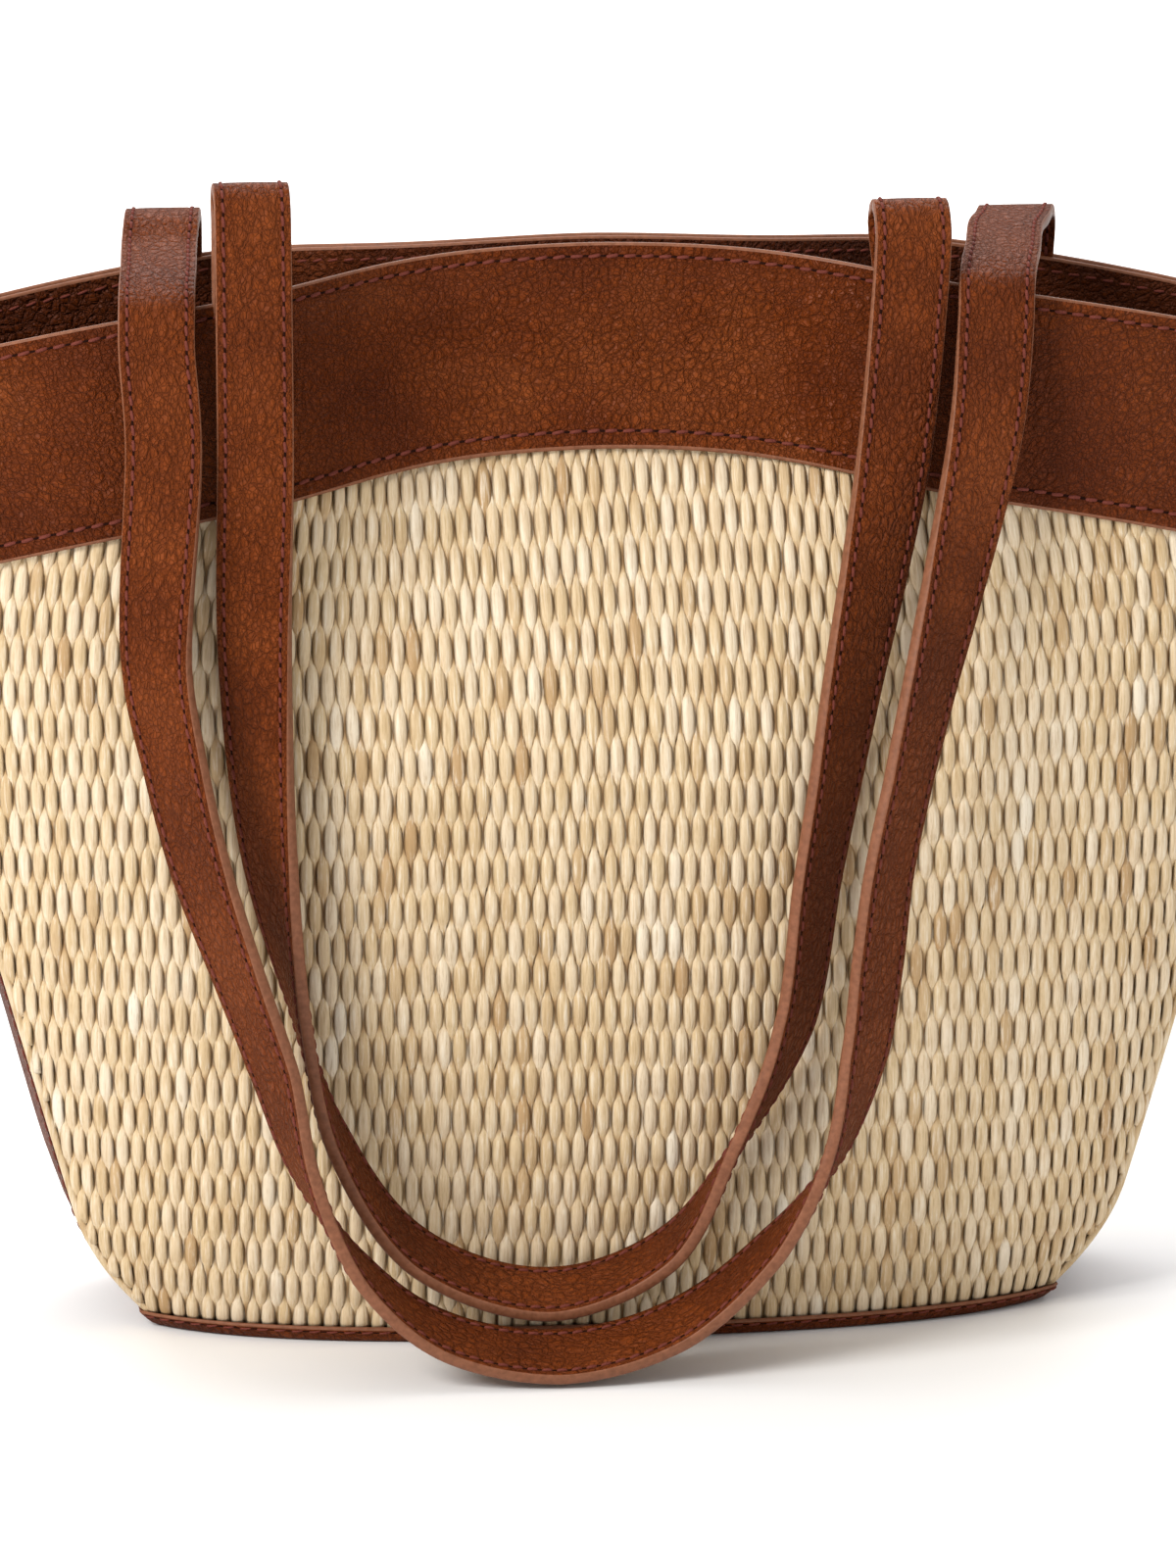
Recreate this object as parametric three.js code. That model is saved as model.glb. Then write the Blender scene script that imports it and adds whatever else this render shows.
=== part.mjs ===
// A woven straw tote for the beach: a leather rim band, leather gussets and base, a cloth lining,
// a magnetic snap, and two flat leather shoulder handles that hang over the front.
// Millimetres, +Z up. The front faces -Y. The origin is the middle of the underside.
import * as THREE from "three";

// ---- body ----
const RIM_HEIGHT = 288; // middle of the mouth above the ground
const RIM_FALL = 30; // the mouth's edge drops this far from the middle to the side seam
const RIM_FALL_POWER = 1.7;
const SEAM_HALF_WIDTH = 132; // half the width between side seams, at the ground before the corner
const SEAM_FLARE = 0.278; // the side seams lean out by this much per mm of height
const FOOT_PULL = 14; // the bottom corners draw in by this much
const FOOT_PULL_HEIGHT = 34;
const BELLY = 63; // half the depth at the fullest height
const FOOT_TUCK = 12; // the wall draws in by this much from the belly to the base
const FOOT_TUCK_HEIGHT = 110;
const TOP_TUCK = 25; // and by this much from the belly to the mouth
const TOP_TUCK_START = 120;
const PLAN_POWER = 2.5; // roundness of the plan outline
const SEAM_ANGLE = THREE.MathUtils.degToRad(29.6); // where the seam sits on the plan outline
const PINCH = 0.79; // the snap closes this share of the depth in the middle of the mouth
const PINCH_HALF_WIDTH = 75;
const PINCH_FROM = 150;
const PINCH_TO = 265;

// ---- gusset ----
const GUSSET_FOLD = 9; // the gusset folds in this far at the mouth
const GUSSET_BULGE = 3; // and swells out this far low down

// ---- layers, as distances out from the straw's outer face ----
const STRAW = [-1.6, 0];
const LEATHER_GUSSET = [-1.2, 0];
const BAND = [0.8, 2.4];
const FACING = [-5.6, -4.2];
const LINING = [-4.2, -3.2];
const TAB_DEPTH = -1.95; // middle of a handle end, between facing and band
const BASE_LIP = [0.6, 2.3];

// ---- heights ----
const BAND_HEIGHT = 54;
const FACING_HEIGHT = 50;
const STRAW_UNDER_BAND = 10;
const BASE_THICKNESS = 1.8;
const BASE_LIP_HEIGHT = 4.5;
const WALL_START = 2.6;
const BOARD = [2.1, 3.6];
const LINING_FLOOR = [3.9, 4.9];
const STITCH_GAP = 0.6;

// ---- handles ----
const STRAP_WIDTH = 20;
const STRAP_THICKNESS = 3.2;
const TAB_THICKNESS = 1.8; // the ends are pared thin where they are sewn in
const TAB_LENGTH = 22;
const FRONT_HANDLE_X = [-92.5, 80.5]; // left and right ends
const FRONT_BEND_RISE = [21, 11.5];
const BACK_HANDLE_X = [-110.5, 119.5];
const BACK_HANDLE_LEAN = [-7.5, -18];
const BACK_ARCH_RISE = [9, 7];
const FRONT_BEND_RADIUS = 8;
const CUT = 0.15; // half the gap between neighbouring lengths of strap

// ---- snap ----
const SNAP_Z = 268;
const SNAP_RADIUS = 9;
const PLATE_RADIUS = 8;
const PLATE_THICKNESS = 0.8;

// ---- mesh steps ----
const PANEL_STEPS = 32;
const PANEL_ROWS = 14;
const GUSSET_STEPS = 6;
const BAND_ROWS = 4;
const LOOP_STEPS = 60;
const BEND_STEPS = 10;

const COLOR = {
  straw: 0xe0c596,
  leather: 0x713a1d,
  facing: 0x653219,
  lining: 0x2b2420,
  board: 0x8a7a66,
  metal: 0xb08d57,
};

const bag = new THREE.Group();
bag.name = "beach_bag";

function addPart(name, geometry, color, roughness = 0.7, metalness = 0) {
  const material = new THREE.MeshStandardMaterial({ color, roughness, metalness });
  const mesh = new THREE.Mesh(geometry, material);
  mesh.name = name;
  bag.add(mesh);
}

// ---- the shape of the walls ----

const smooth = (from, to, value) => THREE.MathUtils.smoothstep(value, from, to);

// Radius of the plan outline for a unit half width and half depth.
function planRadius(angle) {
  const across = Math.abs(Math.cos(angle)) ** PLAN_POWER;
  const along = Math.abs(Math.sin(angle)) ** PLAN_POWER;
  return (across + along) ** (-1 / PLAN_POWER);
}

const SEAM_X = planRadius(SEAM_ANGLE) * Math.cos(SEAM_ANGLE);

function seamHalfWidth(z) {
  const low = Math.max(0, 1 - z / FOOT_PULL_HEIGHT);
  return SEAM_HALF_WIDTH + SEAM_FLARE * z - FOOT_PULL * low ** 2;
}

function halfDepth(z) {
  const low = Math.max(0, 1 - z / FOOT_TUCK_HEIGHT);
  const high = Math.max(0, (z - TOP_TUCK_START) / (RIM_HEIGHT - TOP_TUCK_START));
  return BELLY - FOOT_TUCK * low ** 3 - TOP_TUCK * high ** 1.6;
}

// u runs from the left seam (-1) to the right seam (1) across the front or back wall.
const wallAngle = (u) => u * (Math.PI / 2 - SEAM_ANGLE);

function shareOfWidth(u) {
  const angle = Math.PI / 2 - wallAngle(u);
  return (planRadius(angle) * Math.cos(angle)) / SEAM_X;
}

// A point on the straw's outer face. side is -1 at the front and 1 at the back.
function wallPoint(side, u, z) {
  const angle = Math.PI / 2 - wallAngle(u);
  const x = shareOfWidth(u) * seamHalfWidth(z);
  const open = halfDepth(z) * planRadius(angle) * Math.sin(angle);
  const closing = PINCH * smooth(PINCH_FROM, PINCH_TO, z);
  const pinch = closing * Math.exp(-((x / PINCH_HALF_WIDTH) ** 4));
  return new THREE.Vector3(x, side * open * (1 - pinch), z);
}

const rimHeight = (u) => RIM_HEIGHT - RIM_FALL * Math.abs(shareOfWidth(u)) ** RIM_FALL_POWER;
const SEAM_RIM = RIM_HEIGHT - RIM_FALL;

// A point on the gusset's outer face. side is -1 at the left, v runs from front (-1) to back (1).
function gussetPoint(side, v, z) {
  const seam = wallPoint(1, 1, z);
  const fold = GUSSET_FOLD * smooth(150, SEAM_RIM, z);
  const bulge = GUSSET_BULGE * smooth(10, 50, z) * (1 - smooth(110, 170, z));
  const x = seam.x - (fold - bulge) * (1 - v * v);
  return new THREE.Vector3(side * x, v * seam.y, z);
}

// The four surfaces that the sheets lie on, each with the way it faces.
const wall = (side) => ({
  at: (u, z) => wallPoint(side, u, z),
  outward: new THREE.Vector3(0, side, 0),
});
const gusset = (side) => ({
  at: (v, z) => gussetPoint(side, v, z),
  outward: new THREE.Vector3(side, 0, 0),
});

// Moves a surface point out along the surface's normal.
function offsetPoint(surface, s, z, distance) {
  const step = 1e-3;
  const across = surface.at(s + step, z).sub(surface.at(s - step, z));
  const up = surface.at(s, z + 1).sub(surface.at(s, z - 1));
  const normal = across.cross(up).normalize();
  if (normal.dot(surface.outward) < 0) normal.negate();
  return surface.at(s, z).addScaledVector(normal, distance);
}

// ---- solids from grids ----

// Turns the triangles round if they face inwards.
function faceOut(positions, index) {
  let volume = 0;
  const corner = (k) => new THREE.Vector3().fromArray(positions, 3 * index[k]);
  for (let k = 0; k < index.length; k += 3) {
    volume += corner(k).dot(corner(k + 1).cross(corner(k + 2)));
  }
  if (volume < 0) index.reverse();
  const geometry = new THREE.BufferGeometry();
  geometry.setAttribute("position", new THREE.Float32BufferAttribute(positions, 3));
  geometry.setIndex(index);
  geometry.computeVertexNormals();
  return geometry;
}

// Rings of equal length, joined one to the next. The ends are closed with fans.
function loft(rings) {
  const count = rings[0].length;
  const positions = [];
  const index = [];
  rings.forEach((ring) => ring.forEach((p) => positions.push(p.x, p.y, p.z)));
  for (let r = 0; r + 1 < rings.length; r++) {
    for (let k = 0; k < count; k++) {
      const a = r * count + k;
      const b = r * count + ((k + 1) % count);
      index.push(a, b, b + count, a, b + count, a + count);
    }
  }
  [0, rings.length - 1].forEach((r) => {
    const middle = new THREE.Vector3();
    rings[r].forEach((p) => middle.add(p));
    middle.divideScalar(count);
    const hub = positions.length / 3;
    positions.push(middle.x, middle.y, middle.z);
    for (let k = 0; k < count; k++) {
      const a = r * count + k;
      const b = r * count + ((k + 1) % count);
      if (r === 0) index.push(b, a, hub);
      else index.push(a, b, hub);
    }
  });
  return faceOut(positions, index);
}

// A thick sheet on a surface: across from s0 to s1, and up between two heights that depend on s.
function sheet(surface, [s0, s1], steps, low, high, rows, layer) {
  const rings = [];
  for (let i = 0; i <= steps; i++) {
    const s = THREE.MathUtils.lerp(s0, s1, i / steps);
    const ring = [];
    for (let j = 0; j <= rows; j++) {
      const z = THREE.MathUtils.lerp(low(s), high(s), j / rows);
      ring.push(offsetPoint(surface, s, z, layer[1]));
    }
    for (let j = rows; j >= 0; j--) {
      const z = THREE.MathUtils.lerp(low(s), high(s), j / rows);
      ring.push(offsetPoint(surface, s, z, layer[0]));
    }
    rings.push(ring);
  }
  return ribbon(rings);
}

// Like loft, for rings that are long thin loops: each end is closed straight across the loop.
function ribbon(rings) {
  const count = rings[0].length;
  const positions = [];
  const index = [];
  rings.forEach((ring) => ring.forEach((p) => positions.push(p.x, p.y, p.z)));
  for (let r = 0; r + 1 < rings.length; r++) {
    for (let k = 0; k < count; k++) {
      const a = r * count + k;
      const b = r * count + ((k + 1) % count);
      index.push(a, b, b + count, a, b + count, a + count);
    }
  }
  const last = (rings.length - 1) * count;
  for (let j = 0; j + 1 < count / 2; j++) {
    const across = count - 1 - j;
    index.push(j, across, across - 1, j, across - 1, j + 1);
    index.push(last + j, last + across - 1, last + across);
    index.push(last + j, last + j + 1, last + across - 1);
  }
  return faceOut(positions, index);
}

// The whole plan outline at a height that may depend on u, moved in or out by a distance.
function outline(heightAt, distance) {
  const points = [];
  const corner = 1.6; // the seam's corner moves further, so that both faces keep their distance
  const addWall = (side) => {
    for (let i = 0; i <= PANEL_STEPS; i++) {
      const u = -side * THREE.MathUtils.lerp(-1, 1, i / PANEL_STEPS);
      const reach = Math.abs(u) > 0.999 ? distance * corner : distance;
      points.push(offsetPoint(wall(side), u, heightAt(u), reach));
    }
  };
  const addGusset = (side) => {
    for (let i = 1; i < GUSSET_STEPS; i++) {
      const v = side * THREE.MathUtils.lerp(-1, 1, i / GUSSET_STEPS);
      points.push(offsetPoint(gusset(side), v, heightAt(1), distance));
    }
  };
  addWall(-1);
  addGusset(1);
  addWall(1);
  addGusset(-1);
  return points;
}

// ---- straw panels, gussets and rim ----

function makeWalls() {
  for (const [name, side] of [["front", -1], ["back", 1]]) {
    const surface = wall(side);
    const strawTop = (u) => rimHeight(u) - BAND_HEIGHT + STRAW_UNDER_BAND;
    const straw = sheet(surface, [-1, 1], PANEL_STEPS, () => WALL_START, strawTop, PANEL_ROWS, STRAW);
    addPart(name + "_straw_panel", straw, COLOR.straw, 0.75);
    const bandLow = (u) => rimHeight(u) - BAND_HEIGHT;
    const band = sheet(surface, [-1, 1], PANEL_STEPS, bandLow, rimHeight, BAND_ROWS, BAND);
    addPart(name + "_band", band, COLOR.leather, 0.5);
    const facingLow = (u) => rimHeight(u) - FACING_HEIGHT;
    const facingHigh = (u) => rimHeight(u) - STITCH_GAP;
    const facing = sheet(surface, [-0.93, 0.93], PANEL_STEPS, facingLow, facingHigh, BAND_ROWS, FACING);
    addPart(name + "_facing", facing, COLOR.facing, 0.55);
  }
}

function makeSides() {
  for (const [name, side] of [["left", -1], ["right", 1]]) {
    const surface = gusset(side);
    const inside = [-0.88, 0.88];
    const top = () => SEAM_RIM - STITCH_GAP;
    const panel = sheet(surface, inside, GUSSET_STEPS, () => WALL_START, top, PANEL_ROWS, LEATHER_GUSSET);
    addPart(name + "_gusset", panel, COLOR.leather, 0.5);
    const bandLow = () => SEAM_RIM - BAND_HEIGHT;
    const band = sheet(surface, inside, GUSSET_STEPS, bandLow, () => SEAM_RIM, BAND_ROWS, BAND);
    addPart(name + "_side_band", band, COLOR.leather, 0.5);
    const facingLow = () => SEAM_RIM - FACING_HEIGHT;
    const facing = sheet(surface, [-0.6, 0.6], GUSSET_STEPS, facingLow, top, BAND_ROWS, FACING);
    addPart(name + "_side_facing", facing, COLOR.facing, 0.55);
  }
}

// ---- base ----

function makeBase() {
  const level = (height, distance) => outline(() => height, distance).map((p) => p.setZ(height));
  const tray = loft([
    level(0, BASE_LIP[1] - 1),
    level(1, BASE_LIP[1]),
    level(BASE_LIP_HEIGHT, BASE_LIP[1]),
    level(BASE_LIP_HEIGHT, BASE_LIP[0]),
    level(BASE_THICKNESS, BASE_LIP[0]),
  ]);
  addPart("base_panel", tray, COLOR.leather, 0.5);
  const inset = STRAW[0] - 1.4;
  const board = loft([level(BOARD[0], inset), level(BOARD[1], inset)]);
  addPart("base_board", board, COLOR.board, 0.9);
}

function makeLining() {
  const top = (u) => rimHeight(u) - FACING_HEIGHT - STITCH_GAP;
  const floor = LINING_FLOOR[0];
  const levels = 9;
  const between = (low, share) => (u) => THREE.MathUtils.lerp(low, top(u), share);
  const rings = [];
  for (let r = 0; r <= levels; r++) {
    rings.push(outline(between(floor, r / levels), LINING[1]));
  }
  for (let r = levels; r >= 0; r--) {
    rings.push(outline(between(LINING_FLOOR[1], r / levels), LINING[0]));
  }
  addPart("lining", loft(rings), COLOR.lining, 0.95);
}

// ---- snap ----

// A disc turned about Y, between two depths.
function disc(radius, yLow, yHigh) {
  const chamfer = 0.4;
  const profile = [
    new THREE.Vector2(0, yLow),
    new THREE.Vector2(radius - chamfer, yLow),
    new THREE.Vector2(radius, yLow + chamfer),
    new THREE.Vector2(radius, yHigh - chamfer),
    new THREE.Vector2(radius - chamfer, yHigh),
    new THREE.Vector2(0, yHigh),
  ];
  return new THREE.LatheGeometry(profile, 28).translate(0, 0, SNAP_Z);
}

function makeSnap() {
  const nearest = wallPoint(1, 0, RIM_HEIGHT).y;
  const face = nearest + FACING[0] - 0.3;
  const plate = wallPoint(1, 0, SNAP_Z).y - 1.6;
  addPart("snap_socket", disc(SNAP_RADIUS, -face, -STITCH_GAP / 4), COLOR.metal, 0.35, 1);
  addPart("snap_stud", disc(SNAP_RADIUS, STITCH_GAP / 4, face), COLOR.metal, 0.35, 1);
  const front = disc(PLATE_RADIUS, -plate - PLATE_THICKNESS / 2, -plate + PLATE_THICKNESS / 2);
  const back = disc(PLATE_RADIUS, plate - PLATE_THICKNESS / 2, plate + PLATE_THICKNESS / 2);
  addPart("socket_backing_plate", front, COLOR.metal, 0.45, 1);
  addPart("stud_backing_plate", back, COLOR.metal, 0.45, 1);
}

// ---- handles ----

// The share of the wall at which x is reached at a given height.
function wallAtX(x, z) {
  let low = -1;
  let high = 1;
  for (let k = 0; k < 40; k++) {
    const u = (low + high) / 2;
    if (shareOfWidth(u) * seamHalfWidth(z) < x) low = u;
    else high = u;
  }
  return (low + high) / 2;
}

// Middle of a handle end, a distance below the mouth's edge.
function tabPoint(side, x, below) {
  const u = wallAtX(x, RIM_HEIGHT - 10);
  const z = rimHeight(u) - below;
  return offsetPoint(wall(side), wallAtX(x, z), z, TAB_DEPTH);
}

// Each leg and loop as points x, y, z and the strap's turn in degrees: 0 faces the front,
// 90 is edge on. The loops hang a little to the left, as a soft strap does.
const FRONT_LOOP = [
  [-93, -55, 243, 4], [-94, -62, 188, 26], [-91, -68, 137, 54], [-84, -70, 98, 84],
  [-74, -71, 62, 102], [-53, -71, 31, 110], [-18, -70, 18, 112], [13, -72, 30, 100],
  [31, -74, 58, 76], [46, -74, 90, 56], [52.5, -72, 130, 50], [57.5, -69, 156, 45],
  [62.5, -65, 182, 36], [68, -60, 207, 26], [74, -56, 240, 10],
];
const BACK_LOOP = [
  [-117, -58, 246, 6], [-120, -69, 190, 34], [-116, -77, 165, 42], [-110, -83, 139, 46],
  [-101, -88, 112, 54], [-92, -89, 86, 58], [-84, -89, 58, 76], [-69, -89, 31, 98],
  [-48, -88, 13, 108], [-17, -89, 6.5, 112], [14, -88, 14, 108], [39, -89, 35, 95],
  [55, -89, 59, 70], [63, -88, 86, 50], [66.5, -86, 110, 46], [69.5, -84, 133, 48],
  [75, -80, 157, 48], [81.7, -75, 184, 42], [88, -69, 207, 32], [97.5, -60, 246, 10],
];

// The bend over the mouth's edge at a front handle's end, from the tab outwards.
function frontBend(x, rise) {
  const start = tabPoint(-1, x, -rise);
  const points = [];
  for (let k = 0; k <= 6; k++) {
    const turn = (Math.PI * k) / 6;
    const reach = FRONT_BEND_RADIUS * (1 - Math.cos(turn));
    points.push([x, start.y - reach, start.z + FRONT_BEND_RADIUS * Math.sin(turn)]);
  }
  return points;
}

// A back handle's end rises from the back edge, crosses the mouth, leaning left, and turns down over
// the front edge.
function backBridge(x, rise, lean) {
  const root = tabPoint(1, x, -6);
  const edge = tabPoint(-1, x + lean, 0);
  return [
    [x, root.y, root.z],
    [x + 0.03 * lean, root.y - 3, root.z + 0.58 * rise],
    [x + 0.13 * lean, root.y - 11, root.z + 0.96 * rise],
    [x + 0.3 * lean, root.y - 24, root.z + rise],
    [x + 0.47 * lean, 0, edge.z + rise + 3],
    [x + 0.7 * lean, edge.y + 12, edge.z + 0.55 * rise + 3.9],
    [x + 0.85 * lean, edge.y, edge.z + 0.45 * rise + 2.6],
    [x + 0.95 * lean, edge.y - 9, edge.z + 0.36 * rise - 0.8],
    [x + lean, edge.y - 13.5, edge.z + 0.3 * rise - 9.6],
  ];
}

// Direction of the mouth's edge at a handle end, level, pointing right.
function alongMouth(side, x) {
  const reach = STRAP_WIDTH / 2;
  const edge = tabPoint(side, x + reach, reach).sub(tabPoint(side, x - reach, reach));
  return edge.setZ(0).normalize();
}

// The strap's middle line and its turn, from one end to the other, with the places where it bends.
function strapPath(side, [xLeft, xRight], bends, loop) {
  const end = (x) => {
    const deep = tabPoint(side, x, TAB_LENGTH);
    const half = tabPoint(side, x, TAB_LENGTH / 2);
    const mouth = tabPoint(side, x, 0);
    return [deep, half, mouth].map((p) => [p.x, p.y, p.z]);
  };
  const left = [...end(xLeft), ...bends[0]];
  const right = [...end(xRight), ...bends[1]].reverse();
  const knots = [...left, ...loop, ...right];
  const points = knots.map(([px, py, pz]) => new THREE.Vector3(px, py, pz));
  const turns = knots.map((knot) => (knot.length > 3 ? knot[3] : null));
  return {
    curve: new THREE.CatmullRomCurve3(points, false, "centripetal"),
    turns,
    alongMouth: [alongMouth(side, xLeft), alongMouth(side, xRight).negate()],
    last: knots.length - 1,
    cuts: [2.6, left.length - 1, left.length + loop.length, knots.length - 1 - 2.6],
  };
}

// Direction across the strap at a place on its path.
function strapAcross(path, at) {
  const tangent = path.curve.getTangent(at / path.last);
  const k = Math.min(Math.floor(at), path.last - 1);
  const from = path.turns[k] ?? 0;
  const to = path.turns[k + 1] ?? 0;
  const turn = THREE.MathUtils.degToRad(THREE.MathUtils.lerp(from, to, at - k));
  const isLoop = at > path.cuts[1] + 0.5 && at < path.cuts[2] - 0.5;
  const isLeft = at < path.last / 2;
  const fromEnd = isLeft ? at : path.last - at;
  const level = new THREE.Vector3(isLeft ? 1 : -1, 0, 0);
  level.lerp(path.alongMouth[isLeft ? 0 : 1], 1 - smooth(2.5, 5, fromEnd));
  const inward = isLoop ? tangent.clone().cross(new THREE.Vector3(0, 1, 0)).normalize() : level;
  const across = inward.multiplyScalar(Math.cos(turn));
  across.y -= Math.sin(turn);
  return across.addScaledVector(tangent, -across.dot(tangent)).normalize();
}

// One length of strap between two places on its path.
function strapLength(path, from, to, steps, thickness) {
  const rings = [];
  for (let i = 0; i <= steps; i++) {
    const at = THREE.MathUtils.lerp(from, to, i / steps);
    const middle = path.curve.getPoint(at / path.last);
    const tangent = path.curve.getTangent(at / path.last);
    const across = strapAcross(path, at);
    const outward = tangent.clone().cross(across);
    const corners = [[-1, -1], [1, -1], [1, 1], [-1, 1]];
    rings.push(corners.map(([a, b]) => middle.clone()
      .addScaledVector(across, (a * STRAP_WIDTH) / 2)
      .addScaledVector(outward, (b * thickness) / 2)));
  }
  return loft(rings);
}

// Pulls a cut back by a small distance along the path, so that neighbouring lengths don't touch.
function clear(path, at, sign) {
  const step = 0.01;
  const here = path.curve.getPoint(at / path.last);
  const there = path.curve.getPoint((at + step) / path.last);
  return at + (sign * CUT * step) / here.distanceTo(there);
}

function makeHandle(name, bendName, side, x, bends, loop) {
  const path = strapPath(side, x, bends, loop);
  const [a, b, c, d] = path.cuts;
  const add = (part, from, to, steps, thickness) => {
    const length = strapLength(path, from, to, steps, thickness);
    addPart(part, length, COLOR.leather, 0.5);
  };
  const full = STRAP_THICKNESS;
  add(name + "_left_tab", 0, clear(path, a, -1), 6, TAB_THICKNESS);
  add(name + "_left_" + bendName, clear(path, a, 1), clear(path, b, -1), BEND_STEPS, full);
  add(name, clear(path, b, 1), clear(path, c, -1), LOOP_STEPS, full);
  add(name + "_right_" + bendName, clear(path, c, 1), clear(path, d, -1), BEND_STEPS, full);
  add(name + "_right_tab", clear(path, d, 1), path.last, 6, TAB_THICKNESS);
}

makeWalls();
makeSides();
makeBase();
makeLining();
makeSnap();
const frontBends = [0, 1].map((k) => frontBend(FRONT_HANDLE_X[k], FRONT_BEND_RISE[k]));
const backBridges = [0, 1].map((k) => backBridge(BACK_HANDLE_X[k], BACK_ARCH_RISE[k], BACK_HANDLE_LEAN[k]));
makeHandle("front_handle", "bend", -1, FRONT_HANDLE_X, frontBends, FRONT_LOOP);
makeHandle("back_handle", "bridge", 1, BACK_HANDLE_X, backBridges, BACK_LOOP);

export default bag;
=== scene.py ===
import math

import bpy
import numpy as np
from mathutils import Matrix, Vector


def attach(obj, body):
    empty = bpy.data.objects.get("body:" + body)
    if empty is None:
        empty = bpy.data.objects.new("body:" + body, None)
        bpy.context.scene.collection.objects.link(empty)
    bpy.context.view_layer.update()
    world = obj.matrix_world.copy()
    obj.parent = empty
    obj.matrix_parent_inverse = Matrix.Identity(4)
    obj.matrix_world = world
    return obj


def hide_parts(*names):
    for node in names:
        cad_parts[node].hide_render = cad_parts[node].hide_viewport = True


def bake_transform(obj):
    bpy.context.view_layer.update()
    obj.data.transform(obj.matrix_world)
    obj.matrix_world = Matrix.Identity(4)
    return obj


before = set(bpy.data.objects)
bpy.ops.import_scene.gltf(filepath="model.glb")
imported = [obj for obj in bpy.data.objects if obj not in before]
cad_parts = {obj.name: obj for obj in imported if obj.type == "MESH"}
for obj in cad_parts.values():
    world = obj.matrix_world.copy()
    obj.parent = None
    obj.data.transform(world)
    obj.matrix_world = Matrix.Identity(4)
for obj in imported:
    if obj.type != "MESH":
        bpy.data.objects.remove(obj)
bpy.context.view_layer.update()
MM = 0.001

# ---- camera: the first thing made ----
CAMERA_AIM = Vector((-0.0069, -0.0607, 0.1539))
CAMERA_DISTANCE = 2.6
CAMERA_AZIMUTH = math.radians(-6)
CAMERA_ELEVATION = math.radians(13.5)
CAMERA_LENS = 228.15

camera_data = bpy.data.cameras.new("camera")
camera_data.lens = CAMERA_LENS
camera_data.sensor_width = 36
camera_data.clip_start = 0.05
camera_data.clip_end = 60
camera = bpy.data.objects.new("camera", camera_data)
bpy.context.scene.collection.objects.link(camera)
back = Vector((
    math.sin(CAMERA_AZIMUTH) * math.cos(CAMERA_ELEVATION),
    -math.cos(CAMERA_AZIMUTH) * math.cos(CAMERA_ELEVATION),
    math.sin(CAMERA_ELEVATION),
))
camera.location = CAMERA_AIM + back * CAMERA_DISTANCE
camera.rotation_mode = "QUATERNION"
camera.rotation_quaternion = (-back).to_track_quat("-Z", "Y")
bpy.context.scene.camera = camera

# ---- the bag's measures, in millimetres, as in the CAD part ----
RIM_HEIGHT, RIM_FALL, RIM_FALL_POWER = 288, 30, 1.7
SEAM_HALF_WIDTH, SEAM_FLARE = 132, 0.278
FOOT_PULL, FOOT_PULL_HEIGHT = 14, 34
BELLY, FOOT_TUCK, FOOT_TUCK_HEIGHT = 63, 12, 110
TOP_TUCK, TOP_TUCK_START = 25, 120
PLAN_POWER = 2.5
SEAM_ANGLE = math.radians(29.6)
PINCH, PINCH_HALF_WIDTH, PINCH_FROM, PINCH_TO = 0.79, 75, 150, 265
GUSSET_FOLD, GUSSET_BULGE = 9, 3
BAND_HEIGHT, FACING_HEIGHT = 54, 50
WALL_START = 2.6
SEAM_RIM = RIM_HEIGHT - RIM_FALL
STRAP_HALF_WIDTH, STRAP_THICKNESS, TAB_THICKNESS = 10, 3.2, 1.8
TAB_DEPTH, TAB_LENGTH = -1.95, 22
FRONT_HANDLE_X, BACK_HANDLE_X = (-92.5, 80.5), (-110.5, 119.5)
BACK_HANDLE_LEAN = (-7.5, -18)
FRONT_BEND_RADIUS = 8
FRONT_BEND_RISE, BACK_ARCH_RISE = (21, 11.5), (9, 7)


def smooth(start, end, value):
    t = np.clip((value - start) / (end - start), 0, 1)
    return t * t * (3 - 2 * t)


def unit(vectors):
    return vectors / np.maximum(np.linalg.norm(vectors, axis=-1, keepdims=True), 1e-9)


def travelled(points):
    """Distance from the first point to each point."""
    steps = np.linalg.norm(np.diff(points, axis=0), axis=1)
    return np.concatenate([[0], np.cumsum(steps)])


def ripple(a, b, wavelength, seed):
    """A smooth irregular field from about -1 to 1 over two coordinates."""
    rng = np.random.default_rng(seed)
    total = 0
    for _ in range(7):
        heading = rng.uniform(0, 2 * math.pi)
        pace = 2 * math.pi / wavelength * rng.uniform(0.6, 1.6)
        lead = rng.uniform(0, 2 * math.pi)
        total = total + np.sin(pace * (np.cos(heading) * a + np.sin(heading) * b) + lead)
    return total / 3.2


# ---- surfaces of the walls ----
def plan_radius(angle):
    across = np.abs(np.cos(angle)) ** PLAN_POWER
    along = np.abs(np.sin(angle)) ** PLAN_POWER
    return (across + along) ** (-1 / PLAN_POWER)


SEAM_X = plan_radius(SEAM_ANGLE) * math.cos(SEAM_ANGLE)


def wall_angle(u):
    return math.pi / 2 - u * (math.pi / 2 - SEAM_ANGLE)


def share_of_width(u):
    angle = wall_angle(u)
    return plan_radius(angle) * np.cos(angle) / SEAM_X


def seam_half_width(z):
    low = np.maximum(0, 1 - z / FOOT_PULL_HEIGHT)
    return SEAM_HALF_WIDTH + SEAM_FLARE * z - FOOT_PULL * low**2


def half_depth(z):
    low = np.maximum(0, 1 - z / FOOT_TUCK_HEIGHT)
    high = np.maximum(0, (z - TOP_TUCK_START) / (RIM_HEIGHT - TOP_TUCK_START))
    return BELLY - FOOT_TUCK * low**3 - TOP_TUCK * high**1.6


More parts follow.
